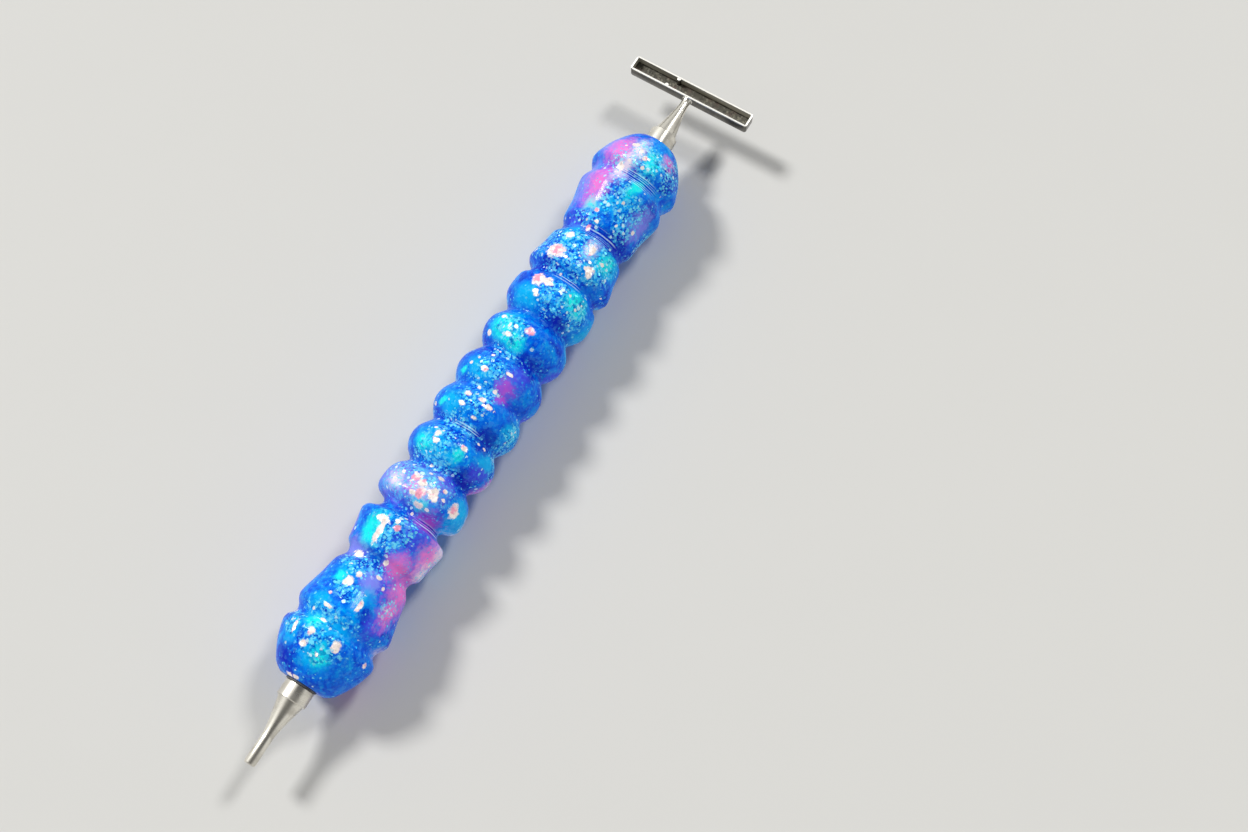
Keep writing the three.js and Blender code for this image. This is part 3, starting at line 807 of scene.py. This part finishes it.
def make_wax():
    finish, tree, shader = new_finish("placing wax")
    place = millimetres(tree)
    broad = noise(tree, place, 0.5, 4.0)
    speckle = add_node(tree, "ShaderNodeTexVoronoi", {"Vector": place, "Scale": 2.6})
    grit = add_node(tree, "ShaderNodeSeparateColor", {0: speckle.outputs["Color"]}).outputs[0]
    body = blend_colours(tree, fade(tree, broad, 0.5, 0.72, 0.0, 0.8), WAX_GREY, WAX_BROWN)
    body = blend_colours(tree, fade(tree, grit, 0.55, 1.0, 0.0, 0.6), body, WAX_DARK)
    body = blend_colours(tree, fade(tree, grit, 0.25, 0.0, 0.0, 0.7), body, WAX_PALE)
    floor = FLOOR_TOP / MM
    # Painted light: the wax is painted paler up the inner walls to even out the shade that falls there.
    painted_light_on_wall = fade(tree, one_axis(tree, place, "Z"), floor + 0.35, floor + 0.55, 0.0, 0.8)
    set_inputs(tree, shader, {
        "Base Color": blend_colours(tree, painted_light_on_wall, body, WALL_WAX_PAINTED_LIGHT),
        "Roughness": fade(tree, grit, 0.0, 1.0, 0.35, 0.65),
        "Normal": bump(tree, grit, 0.5, 2 * METAL_RELIEF),
    })
    return finish


def make_nylon():
    finish, tree, shader = new_finish("dark nylon")
    place = millimetres(tree)
    smudge = use_group(tree, SMUDGES, Place=place, Size=1.0)
    rings = use_group(tree, TURNING_RINGS, Place=place, Spacing=0.08)
    set_inputs(tree, shader, {
        "Base Color": blend_colours(tree, smudge, NYLON_GREY, NYLON_WORN),
        "Roughness": fade(tree, rings, 0.0, 1.0, 0.4, 0.65),
        "Normal": bump(tree, rings, 0.4, METAL_RELIEF),
    })
    return finish


TROUGH_STEEL = make_trough_steel()
WAX = make_wax()
NYLON = make_nylon()
print("more finishes:", TROUGH_STEEL.name, WAX.name, NYLON.name)

# %% [markdown]
# A lathe turns an outline into a piece, and so does Blender's Spin. One vertex is drawn out
# along the outline, step by step, and the line is then spun round the pen's axis. The seam
# and the poles are closed by merging, and the normals are recalculated last.

# %% Lathe
MERGE_REACH = 0.002 * MM


def clear_selection():
    if bpy.context.object and bpy.context.object.mode != "OBJECT":
        bpy.ops.object.mode_set(mode="OBJECT")
    bpy.ops.object.select_all(action="DESELECT")


def pick(piece):
    """Selects one piece alone and makes it active."""
    clear_selection()
    piece.select_set(True)
    bpy.context.view_layer.objects.active = piece


def draw_line(name, points):
    """An open line of edges through points, drawn out from one vertex. Stays in edit mode."""
    clear_selection()
    bpy.ops.mesh.primitive_plane_add(size=MM, location=(0, 0, 0))
    piece = bpy.context.object
    piece.name = name
    piece.data.name = name
    bpy.ops.object.mode_set(mode="EDIT")
    bpy.ops.mesh.select_all(action="SELECT")
    bpy.ops.mesh.merge(type="CENTER")
    bpy.ops.transform.translate(value=points[0])
    for here, there in zip(points, points[1:]):
        step = [b - a for a, b in zip(here, there)]
        bpy.ops.mesh.extrude_vertices_move(TRANSFORM_OT_translate={"value": step})
    return piece


def turn_piece(name, outline, facets):
    """A closed piece of revolution from an outline of places and radii, both in metres."""
    piece = draw_line(name, [(x, radius, AXIS_HEIGHT) for x, radius in outline])
    bpy.ops.mesh.select_all(action="SELECT")
    bpy.ops.mesh.spin(
        steps=facets, angle=2 * math.pi, center=(0, 0, AXIS_HEIGHT), axis=(1, 0, 0),
        use_auto_merge=False,
    )
    bpy.ops.mesh.select_all(action="SELECT")
    bpy.ops.mesh.remove_doubles(threshold=MERGE_REACH)
    bpy.ops.mesh.normals_make_consistent(inside=False)
    bpy.ops.object.mode_set(mode="OBJECT")
    return piece


def finish_piece(piece, material, body, slot, *replaced, smooth_angle=30):
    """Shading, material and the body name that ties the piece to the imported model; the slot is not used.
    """
    pick(piece)
    bpy.ops.object.shade_smooth_by_angle(angle=math.radians(smooth_angle))
    piece.data.materials.clear()
    piece.data.materials.append(material)
    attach(piece, body)
    if replaced:
        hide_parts(*replaced)
    print(piece.name, len(piece.data.polygons), "faces")


# %% [markdown]
# The handle's own outline is read off the solid: each facet corner lies on the true curve, so
# the corners give one radius for each place. A smooth curve through those stations then gives
# enough points for round beads. The curve is the centripetal kind, which doesn't overshoot
# where close stations follow distant ones. The tool left some crests sharp. There the curve is
# broken, and the ends on both sides are pulled back a little, which leaves a narrow flat.

# %% Handle outline
OUTSIDE_FROM = 3.6 * MM
HANDLE_STEP = 0.4 * MM
# Distances of the sharp crests from the nose end, in millimetres.
CRESTS = (8.8, 12.9, 31.0, 31.8, 36.6, 83.0, 87.1, 105.7, 110.5)
CREST_REACH = 0.15 * MM
CREST_CUT = 0.13 * MM


def turned_stations(node_name, smallest_radius):
    """Places along a turned solid, each with its largest radius."""
    radii = {}
    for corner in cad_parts[node_name].data.vertices:
        radius = math.hypot(corner.co.y, corner.co.z - AXIS_HEIGHT)
        if radius > smallest_radius:
            place = round(corner.co.x, 6)
            radii[place] = max(radius, radii.get(place, 0))
    return sorted(radii.items())


def curve_point(points, times, share):
    """A point between the second and third of four, on a centripetal curve."""
    time = times[1] + share * (times[2] - times[1])

    def between(a, b, start, end):
        return a + (b - a) * ((time - start) / (end - start))

    first = [between(points[i], points[i + 1], times[i], times[i + 1]) for i in range(3)]
    second = [between(first[i], first[i + 1], times[i], times[i + 2]) for i in range(2)]
    return between(second[0], second[1], times[1], times[2])


def smooth_run(stations, step):
    """Points about a step apart on a smooth curve through the stations."""
    points = [Vector(station) for station in stations]
    points = [2 * points[0] - points[1], *points, 2 * points[-1] - points[-2]]
    line = []
    for i in range(1, len(points) - 2):
        four = points[i - 1 : i + 3]
        times = [0.0]
        for a, b in zip(four, four[1:]):
            times.append(times[-1] + math.sqrt((b - a).length))
        count = max(1, round((four[2] - four[1]).length / step))
        line += [tuple(curve_point(four, times, k / count)) for k in range(count)]
    line.append(tuple(points[-2]))
    return line


def pulled_back(end, neighbour):
    """The end of a run, moved towards its neighbour to leave a narrow flat at a crest."""
    end, neighbour = Vector(end), Vector(neighbour)
    return tuple(end.lerp(neighbour, CREST_CUT / (neighbour - end).length))


def smooth_line(stations, crests, step):
    """Smooth runs from crest to crest."""
    breaks = []
    for i, (place, _) in enumerate(stations):
        if any(abs(place - crest) < CREST_REACH for crest in crests):
            breaks.append(i)
    line = []
    start = 0
    for end in [*breaks, len(stations) - 1]:
        run = smooth_run(stations[start : end + 1], step)
        if start:
            run[0] = pulled_back(run[0], run[1])
        if end in breaks:
            run[-1] = pulled_back(run[-1], run[-2])
        line += run
        start = end
    return line


crests = [NOSE_END + distance * MM for distance in CRESTS]
handle_line = smooth_line(turned_stations("handle", OUTSIDE_FROM), crests, HANDLE_STEP)
thickest = 2 * max(radius for _, radius in handle_line)
print("handle outline:", len(handle_line), "points, thickest, mm:", in_mm(thickest))

# %% [markdown]
# Each end of the handle is bored for a brass sleeve, and the mouth of the bore is countersunk.
# The outline runs from the bottom of one bore, over the outside, to the bottom of the other.

# %% Handle
SOCKET_DEPTH = 11 * MM
SOCKET_RADIUS = 2.64 * MM
MOUTH_RADIUS = 3.0 * MM
MOUTH_DEPTH = 0.3 * MM
HANDLE_FACETS = 144


def socket(end, inwards):
    """The bore's outline from its bottom to its mouth."""
    return [
        (end + inwards * SOCKET_DEPTH, 0.0),
        (end + inwards * SOCKET_DEPTH, SOCKET_RADIUS),
        (end + inwards * MOUTH_DEPTH, SOCKET_RADIUS),
        (end, MOUTH_RADIUS),
    ]


handle_outline = socket(NOSE_END, TOWARDS_TAIL) + handle_line + socket(TAIL_END, TOWARDS_NOSE)[::-1]
resin_handle = turn_piece("resin_handle", handle_outline, HANDLE_FACETS)
finish_piece(resin_handle, RESIN, "handle", "resin", "handle", smooth_angle=40)

# %% [markdown]
# The brass sleeves are right as the solid model has them, threads included, so they only get
# their finish. The thin rings under the collars get rounded edges, which a moulded ring has.

# %% Sleeves and rings
for sleeve in ("nose_sleeve", "tail_sleeve"):
    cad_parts[sleeve].data.materials.clear()
    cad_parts[sleeve].data.materials.append(BRASS)

RING_THICKNESS = 0.35 * MM
RING_RADIUS = 2.95 * MM
RING_HOLE = 2.2 * MM
RING_ROUND = 0.12 * MM
RING_FACETS = 96
ROUND_STEPS = 4


def ring_outline(end, outwards):
    """A washer's section with four rounded corners, closed on itself."""
    near, far = RING_ROUND, RING_THICKNESS - RING_ROUND
    inner, outer = RING_HOLE + RING_ROUND, RING_RADIUS - RING_ROUND
    points = []
    for along, radius, start in ((near, inner, 180), (far, inner, 270), (far, outer, 0), (near, outer, 90)):
        for step in range(ROUND_STEPS + 1):
            angle = math.radians(start + 90 * step / ROUND_STEPS)
            place = end + outwards * (along + RING_ROUND * math.cos(angle))
            points.append((place, radius + RING_ROUND * math.sin(angle)))
    return points + points[:1]


nose_washer = turn_piece("nose_washer", ring_outline(NOSE_END, TOWARDS_NOSE), RING_FACETS)
finish_piece(nose_washer, NYLON, "nose_ring", "ring_nylon", "nose_ring")
tail_washer = turn_piece("tail_washer", ring_outline(TAIL_END, TOWARDS_TAIL), RING_FACETS)
finish_piece(tail_washer, NYLON, "tail_ring", "ring_nylon", "tail_ring")

# %% [markdown]
# Two helpers are needed from here on. One adds a modifier, sets it and applies it, so that its
# result is real mesh. The other joins, cuts or overlaps two pieces with a Boolean.


# %% Modifiers and joins
def apply_modifier(piece, kind, **settings):
    """Adds a modifier to the active piece, sets it and applies it."""
    bpy.ops.object.modifier_add(type=kind)
    modifier = piece.modifiers[-1]
    for name, value in settings.items():
        setattr(modifier, name, value)
    bpy.ops.object.modifier_apply(modifier=modifier.name)


def combine(piece, other, operation):
    """Joins, cuts or overlaps a piece with another, which is then removed."""
    pick(piece)
    apply_modifier(piece, "BOOLEAN", operation=operation, solver="EXACT", object=other)
    bpy.data.objects.remove(other)


# %% [markdown]
# A tip is one turned piece with a threaded stud. The thread is one pitch of its zigzag section,
# wound along the axis by a Screw modifier and cut flat at both ends. A turned blank with a
# pointed end then trims it by a Boolean. The thread is laid so that its ridges match the grooves
# in the sleeve, and it starts a little inside the collar, which it is joined to later.

# %% Screw thread
PITCH = 0.7 * MM
THREAD_RADIUS = 2.0 * MM
THREAD_DEPTH = 0.43 * MM
ROOT_RADIUS = THREAD_RADIUS - THREAD_DEPTH
# One pitch of the thread, as shares of the pitch with radii: a flat ridge and a flat root.
THREAD_SECTION = (
    (0, THREAD_RADIUS), (1 / 8, THREAD_RADIUS), (7 / 16, ROOT_RADIUS), (11 / 16, ROOT_RADIUS),
    (1, THREAD_RADIUS),
)
STUD_LENGTH = 5.6 * MM
THREAD_STEPS = 40
BLANK_ROOM = 0.05 * MM
CUT_REACH = 0.0001 * MM
SPARE_TURNS = 5


def make_stud(name, end, inwards):
    """A right-hand thread from inside the collar to its end inside the sleeve."""
    turns = math.ceil(STUD_LENGTH / PITCH) + SPARE_TURNS
    reach = [end - inwards * (RING_THICKNESS + PITCH / 2), end + inwards * STUD_LENGTH]
    whole_turns = math.floor((min(reach) - end) / PITCH) - 1
    start = end + whole_turns * PITCH
    stud = draw_line(name, [(start + along * PITCH, radius, 0) for along, radius in THREAD_SECTION])
    bpy.ops.object.mode_set(mode="OBJECT")
    apply_modifier(
        stud, "SCREW", axis="X", angle=2 * math.pi, screw_offset=PITCH, iterations=turns,
        steps=THREAD_STEPS, render_steps=THREAD_STEPS,
    )
    bpy.ops.object.mode_set(mode="EDIT")
    bpy.ops.mesh.select_all(action="SELECT")
    bpy.ops.mesh.remove_doubles(threshold=MERGE_REACH)
    for place, side in ((min(reach), -1), (max(reach), 1)):
        bpy.ops.mesh.select_all(action="SELECT")
        bpy.ops.mesh.bisect(
            plane_co=(place, 0, 0), plane_no=(side, 0, 0), use_fill=True, clear_outer=True,
            threshold=CUT_REACH,
        )
    bpy.ops.mesh.select_all(action="SELECT")
    bpy.ops.transform.translate(value=(0, 0, AXIS_HEIGHT))
    bpy.ops.mesh.normals_make_consistent(inside=False)
    bpy.ops.object.mode_set(mode="OBJECT")
    blank_outline = [
        (end + inwards * STUD_LENGTH, 0.0),
        (end + inwards * STUD_LENGTH, ROOT_RADIUS),
        (end + inwards * (STUD_LENGTH - THREAD_DEPTH), THREAD_RADIUS + BLANK_ROOM),
        (end - inwards * (RING_THICKNESS + PITCH), THREAD_RADIUS + BLANK_ROOM),
        (end - inwards * (RING_THICKNESS + PITCH), 0.0),
    ]
    combine(stud, turn_piece(name + "_blank", blank_outline, RING_FACETS), "INTERSECT")
    return stud


# %% [markdown]
# Both tips start with the same head: a collar with small chamfers, a step down, and a cone that
# narrows in a hollow curve to whatever the tip ends in. The curve is a simple one with a single
# control point, at the end radius and three quarters of the way along. The head is spun like the
# handle and joined to its stud.

# %% Tip heads
COLLAR_RADIUS = 2.77 * MM
COLLAR_LENGTH = 3 * MM
COLLAR_CHAMFER = 0.15 * MM
TIP_FACETS = 96
CONE_STEPS = 24
CONE_BEND = 0.75


def collar_and_cone(start_radius, end_radius, cone_length):
    """Distances from the handle's end and radii: the collar, a small step, then the cone."""
    collar_end = RING_THICKNESS + COLLAR_LENGTH
    points = [
        (RING_THICKNESS, 0.0),
        (RING_THICKNESS, COLLAR_RADIUS - COLLAR_CHAMFER),
        (RING_THICKNESS + COLLAR_CHAMFER, COLLAR_RADIUS),
        (collar_end - COLLAR_CHAMFER, COLLAR_RADIUS),
        (collar_end, COLLAR_RADIUS - COLLAR_CHAMFER),
    ]
    for step in range(CONE_STEPS + 1):
        t = step / CONE_STEPS
        along = 2 * t * (1 - t) * CONE_BEND * cone_length + t * t * cone_length
        radius = (1 - t) ** 2 * start_radius + (2 * t * (1 - t) + t * t) * end_radius
        points.append((collar_end + along, radius))
    return points


def make_tip(name, end, outwards, head):
    outline = [(end + outwards * along, radius) for along, radius in head]
    tip = turn_piece(name, outline, TIP_FACETS)
    combine(tip, make_stud(name + "_stud", end, -outwards), "UNION")
    return tip


print("collar and its ring, mm:", in_mm(COLLAR_LENGTH, RING_THICKNESS))

# %% [markdown]
# The nose tip tapers to a thin tube. The tube is open, because its bore holds the wax that
# picks up a drill, so the outline turns in at the mouth and ends in a drilled cone.

# %% Nose tip
NOSE_CONE_RADIUS = 2.45 * MM
NOSE_CONE_LENGTH = 7 * MM
TUBE_RADIUS = 1.08 * MM
BORE_RADIUS = 0.78 * MM
BORE_DEPTH = 5 * MM
NOSE_REACH = NOSE_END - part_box("nose_tip")[0].x
TUBE_ROUND = 0.28 * MM
DRILL_POINT = 0.4 * MM

# The mouth of the tube is rounded in a few short facets, more outside than inside.
nose_head = collar_and_cone(NOSE_CONE_RADIUS, TUBE_RADIUS, NOSE_CONE_LENGTH) + [
    (NOSE_REACH - TUBE_ROUND, TUBE_RADIUS),
    (NOSE_REACH - 0.3 * TUBE_ROUND, TUBE_RADIUS - 0.3 * TUBE_ROUND),
    (NOSE_REACH, TUBE_RADIUS - 0.7 * TUBE_ROUND),
    (NOSE_REACH, BORE_RADIUS + 0.3 * TUBE_ROUND),
    (NOSE_REACH - 0.3 * TUBE_ROUND, BORE_RADIUS),
    (NOSE_REACH - BORE_DEPTH, BORE_RADIUS),
    (NOSE_REACH - BORE_DEPTH - DRILL_POINT, 0.0),
]
nose_placer = make_tip("nose_placer", NOSE_END, TOWARDS_NOSE, nose_head)
finish_piece(nose_placer, STEEL, "nose_tip", "tip_steel", "nose_tip")

# %% [markdown]
# The tail tip ends in a slim neck. A tenon on it goes through the wall of the trough, and the
# braze leaves a small round fillet where they meet.

# %% Tail stem
TAIL_CONE_RADIUS = 2.25 * MM
TAIL_CONE_LENGTH = 8 * MM
STEM_REACH = trough_low.x - TAIL_END
NECK_RADIUS = 0.86 * MM
TENON_RADIUS = 0.5 * MM
BRAZE_FILLET = 0.2 * MM
FILLET_STEPS = 5

stem_head = collar_and_cone(TAIL_CONE_RADIUS, NECK_RADIUS, TAIL_CONE_LENGTH)
for step in range(1, FILLET_STEPS + 1):
    swing = math.radians(90 * step / FILLET_STEPS)
    stem_head.append((
        STEM_REACH - BRAZE_FILLET * (1 - math.sin(swing)),
        NECK_RADIUS + BRAZE_FILLET * (1 - math.cos(swing)),
    ))
stem_head += [(STEM_REACH, TENON_RADIUS), (STEM_REACH + WALL, TENON_RADIUS), (STEM_REACH + WALL, 0.0)]
tail_stem = make_tip("tail_stem", TAIL_END, TOWARDS_TAIL, stem_head)
finish_piece(tail_stem, STEEL, "trough_placer", "tip_steel", "placer_stem")

# %% [markdown]
# Sheet metal can be modelled from a block. In edit mode a tool acts on what is selected, so the
# right faces and edges are picked first, here by a test on their place or their direction.


# %% Blocks and selections
def select_nothing(kind):
    """Ready to mark faces or edges by code, which works in object mode."""
    bpy.ops.object.mode_set(mode="EDIT")
    bpy.ops.mesh.select_mode(type=kind)
    bpy.ops.mesh.select_all(action="DESELECT")
    bpy.ops.object.mode_set(mode="OBJECT")


def select_faces(piece, wanted):
    """Selects the faces that a test picks out, in edit mode."""
    select_nothing("FACE")
    for face in piece.data.polygons:
        face.select = wanted(face)
    bpy.ops.object.mode_set(mode="EDIT")


def select_edges(piece, wanted):
    """Selects the edges whose two ends pass a test, in edit mode."""
    select_nothing("EDGE")
    corners = piece.data.vertices
    for edge in piece.data.edges:
        edge.select = wanted(corners[edge.vertices[0]].co, corners[edge.vertices[1]].co)
    bpy.ops.object.mode_set(mode="EDIT")


def settle_place():
    """Moves the active piece's place, turn and size into its mesh."""
    bpy.ops.object.transform_apply(location=True, rotation=True, scale=True)


def add_block(name, low, high):
    """A block between two corners."""
    clear_selection()
    low, high = Vector(low), Vector(high)
    bpy.ops.mesh.primitive_cube_add(size=1, location=(low + high) / 2)
    block = bpy.context.object
    block.name = name
    block.data.name = name
    block.scale = high - low
    settle_place()
    return block


# %% [markdown]
# The trough starts as a block of its outer size. Its four upright corners are rounded, the top
# face is inset by one wall, and the inner face is pushed down to leave the floor. Narrow bevels
# on the rim and the foot give the folded sheet the soft edges that catch light.

# %% Trough
TROUGH_CORNER = 0.5 * MM
RIM_ROUND = 0.07 * MM
FACING_UP = 0.9
SHARP_DEGREES = 50
trough_middle = (trough_low + trough_high) / 2


def make_trough():
    trough = add_block("trough", trough_low, trough_high)
    select_edges(trough, lambda a, b: abs(a.z - b.z) > MM)
    bpy.ops.mesh.bevel(offset=TROUGH_CORNER, segments=8, affect="EDGES")
    bpy.ops.object.mode_set(mode="OBJECT")
    select_faces(trough, lambda face: face.normal.z > FACING_UP)
    bpy.ops.mesh.inset(thickness=WALL, depth=0)
    down = (0, 0, FLOOR_TOP - trough_high.z)
    bpy.ops.mesh.extrude_region_move(TRANSFORM_OT_translate={"value": down})
    bpy.ops.object.mode_set(mode="OBJECT")
    apply_modifier(
        trough, "BEVEL", width=RIM_ROUND, segments=2, limit_method="ANGLE",
        angle_limit=math.radians(SHARP_DEGREES),
    )
    return trough


trough = make_trough()
print("trough, mm:", in_mm(*trough.dimensions))

# %% [markdown]
# Two small nubs inside keep the row of drills from sliding, one on each long wall. The sheet is
# folded up at the ends, and one corner shows the seam as a fine slit. The wall behind has the
# hole for the tenon. Wax has crept up the inner walls, so the faces inside get the wax finish
# as a second material. The nubs and the rim stay bare.

# %% Nubs, seam and tenon hole
NUB_RADIUS = 0.4 * MM
# Each nub is the side of its wall and its place along the trough.
NUB_PLACES = ((1, 3.4 * MM), (-1, 4.9 * MM))
NUB_INSET = 0.1 * MM
NUB_ROUND = 0.12 * MM
SEAM_WIDTH = 0.09 * MM
TENON_ROOM = 0.04 * MM


def add_peg(name, middle, radius, length, sides=24, turn=(0, 0, 0)):
    """A peg round a middle point, upright unless it is turned."""
    clear_selection()
    bpy.ops.mesh.primitive_cylinder_add(
        vertices=sides, radius=radius, depth=length, location=middle, rotation=turn
    )
    peg = bpy.context.object
    peg.name = name
    settle_place()
    return peg


nub_reach = (trough_high.x - trough_low.x) / 2 - WALL - NUB_INSET
nub_places = [(trough_middle.x + side * nub_reach, along) for side, along in NUB_PLACES]
nub_low, nub_high = FLOOR_TOP - WALL / 2, RIM_HEIGHT - RIM_ROUND
for place in nub_places:
    nub = add_peg("nub", (*place, (nub_low + nub_high) / 2), NUB_RADIUS, nub_high - nub_low)
    select_edges(nub, lambda a, b: min(a.z, b.z) > RIM_HEIGHT - 2 * RIM_ROUND)
    bpy.ops.mesh.bevel(offset=NUB_ROUND, segments=3, affect="EDGES")
    bpy.ops.object.mode_set(mode="OBJECT")
    combine(trough, nub, "UNION")

seam_far = trough_high.y - WALL
seam = add_block(
    "seam",
    (trough_low.x - WALL, seam_far - 0.6 * SEAM_WIDTH, FLOOR_TOP + WALL / 5),
    (trough_low.x + 1.2 * WALL, seam_far + 0.4 * SEAM_WIDTH, trough_high.z + WALL),
)
combine(trough, seam, "DIFFERENCE")
tenon_hole = add_peg(
    "tenon_hole", (trough_low.x + WALL / 2, 0, AXIS_HEIGHT), TENON_RADIUS + TENON_ROOM, 2 * WALL,
    sides=32, turn=(0, math.pi / 2, 0),
)
combine(trough, tenon_hole, "DIFFERENCE")
finish_piece(trough, TROUGH_STEEL, "trough_placer", "tip_steel", "placer_trough", smooth_angle=35)

trough.data.materials.append(WAX)
half = (trough_high - trough_low) / 2
for face in trough.data.polygons:
    reach = face.center - trough_middle
    inside = abs(reach.x) < half.x - 0.8 * WALL and abs(reach.y) < half.y - 0.8 * WALL
    from_nubs = min(math.hypot(face.center.x - x, face.center.y - y) for x, y in nub_places)
    if inside and from_nubs >= 1.02 * NUB_RADIUS and face.center.z < RIM_HEIGHT - 0.9 * RIM_ROUND:
        face.material_index = 1
print("waxed faces:", sum(face.material_index for face in trough.data.polygons))

# %% [markdown]
# The wax on the floor is a thin, uneven skin. A block of its size is subdivided, its top is
# pushed about by a cloud texture, and the places of the nubs are cut out.

# %% Wax
WAX_CUTS_ALONG = 60
WAX_CUTS_ACROSS = 5
WAX_LUMP = 1.2 * MM
WAX_SWING = 0.12 * MM
NUB_ROOM = 0.12 * MM
wax_low, wax_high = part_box("trough_wax")
wax_mean_top = Vector((wax_high.x, wax_high.y, wax_high.z - WAX_SWING / 2))

wax = add_block("wax_skin", wax_low, wax_mean_top)
select_edges(wax, lambda a, b: abs(a.y - b.y) > MM)
bpy.ops.mesh.subdivide(number_cuts=WAX_CUTS_ALONG)
bpy.ops.mesh.select_all(action="DESELECT")
bpy.ops.object.mode_set(mode="OBJECT")
select_edges(wax, lambda a, b: abs(a.x - b.x) > MM)
bpy.ops.mesh.subdivide(number_cuts=WAX_CUTS_ACROSS)
bpy.ops.object.mode_set(mode="OBJECT")
lumps = bpy.data.textures.new("lumps", "CLOUDS")
lumps.noise_scale = WAX_LUMP
lumps.noise_depth = 2
half_up = (wax_low.z + wax_mean_top.z) / 2
top = wax.vertex_groups.new(name="top")
top.add([corner.index for corner in wax.data.vertices if corner.co.z > half_up], 1.0, "REPLACE")
apply_modifier(
    wax, "DISPLACE", texture=lumps, texture_coords="LOCAL", direction="Z", vertex_group="top",
    strength=WAX_SWING, mid_level=0.5,
)
room_low, room_high = wax_low.z - WALL, wax_high.z + WALL
for place in nub_places:
    middle = (*place, (room_low + room_high) / 2)
    combine(wax, add_peg("room", middle, NUB_RADIUS + NUB_ROOM, room_high - room_low), "DIFFERENCE")
finish_piece(wax, WAX, "trough_placer", "wax", "trough_wax", smooth_angle=50)

# %% [markdown]
# The pen lies on a plain pale floor under two soft lamps, one towards each side of the far end,
# so that it throws two soft shadows. The lamps are far away and broad, which lights the whole
# floor evenly. The world fills the rest. It looks paler to the camera and to mirrors than its
# own light is, with a darker ceiling and one soft box near the left lamp, because steel needs
# something dark and something bright to mirror. Lamps and world together are close to 1, so a
# colour renders about as it is written.

# %% Floor and light
FLOOR_COLOUR = colour(214, 213, 209)
FLOOR_SHADE = colour(190, 189, 186)
FLOOR_SIZE = 40
FLOOR_DROP = 0.05 * MM
WORLD_COLOUR = colour(233, 233, 230)
WORLD_LIGHT = 0.3
WORLD_LOOK = 0.88
CEILING_LOOK = 0.16
CEILING_FROM, CEILING_TO = 0.35, 0.8
SOFT_BOX_LOOK = 1.1
SOFT_BOX_FROM, SOFT_BOX_TO = 0.7, 0.86
LEFT_LAMP = (0.1, 1.0, 1.05)
RIGHT_LAMP = (0.95, -0.3, 1.2)
LEFT_LIGHT = 2.25
RIGHT_LIGHT = 1.15
LAMP_SPREAD = 12


def make_floor():
    clear_selection()
    bpy.ops.mesh.primitive_grid_add(
        x_subdivisions=8, y_subdivisions=8, size=FLOOR_SIZE, location=(0, 0, -FLOOR_DROP)
    )
    floor = bpy.context.object
    floor.name = "floor"
    finish, tree, shader = new_finish("floor")
    grain = noise(tree, millimetres(tree), 0.05, 3.0)
    share = maths(tree, "MULTIPLY", grain, 0.06)
    set_inputs(tree, shader, {
        "Base Color": blend_colours(tree, share, FLOOR_COLOUR, FLOOR_SHADE),
        "Roughness": 0.7,
    })
    floor.data.materials.append(finish)


def soft_lamp(name, direction, strength):
    """A broad, distant lamp that shines from a direction."""
    lamp = bpy.data.lights.new(name, "SUN")
    lamp.angle = math.radians(LAMP_SPREAD)
    lamp.energy = strength
    holder = bpy.data.objects.new(name, lamp)
    bpy.context.scene.collection.objects.link(holder)
    away = Vector(direction).normalized()
    turn = away.to_track_quat("Z", "Y").to_matrix().to_4x4()
    holder.matrix_world = Matrix.Translation(away) @ turn


def make_world():
    world = bpy.data.worlds.new("studio")
    bpy.context.scene.world = world
    world.use_nodes = True
    tree = world.node_tree
    ray = tree.nodes.new("ShaderNodeLightPath").outputs
    seen = maths(tree, "MAXIMUM", ray["Is Camera Ray"], ray["Is Glossy Ray"])
    seen = maths(tree, "MAXIMUM", seen, ray["Is Transmission Ray"])
    direction = tree.nodes.new("ShaderNodeTexCoord").outputs["Generated"]
    rise = one_axis(tree, direction, "Z")
    look = fade(tree, rise, CEILING_FROM, CEILING_TO, WORLD_LOOK, CEILING_LOOK)
    left = tuple(Vector(LEFT_LAMP).normalized())
    towards_lamp = vector_maths(tree, "DOT_PRODUCT", direction, left)
    soft_box = fade(tree, towards_lamp, SOFT_BOX_FROM, SOFT_BOX_TO, 0.0, SOFT_BOX_LOOK)
    look = maths(tree, "MAXIMUM", look, soft_box)
    extra = maths(tree, "SUBTRACT", look, WORLD_LIGHT)
    set_inputs(tree, tree.nodes["Background"], {
        "Color": WORLD_COLOUR,
        "Strength": maths(tree, "MULTIPLY_ADD", seen, extra, WORLD_LIGHT),
    })


make_floor()
soft_lamp("left_lamp", LEFT_LAMP, LEFT_LIGHT)
soft_lamp("right_lamp", RIGHT_LAMP, RIGHT_LIGHT)
make_world()
bpy.context.scene.view_settings.view_transform = "Standard"
print("floor, two soft lamps and a pale world")

# %% [markdown]
# The last cell clears the selection.

# %% Clear the selection
clear_selection()
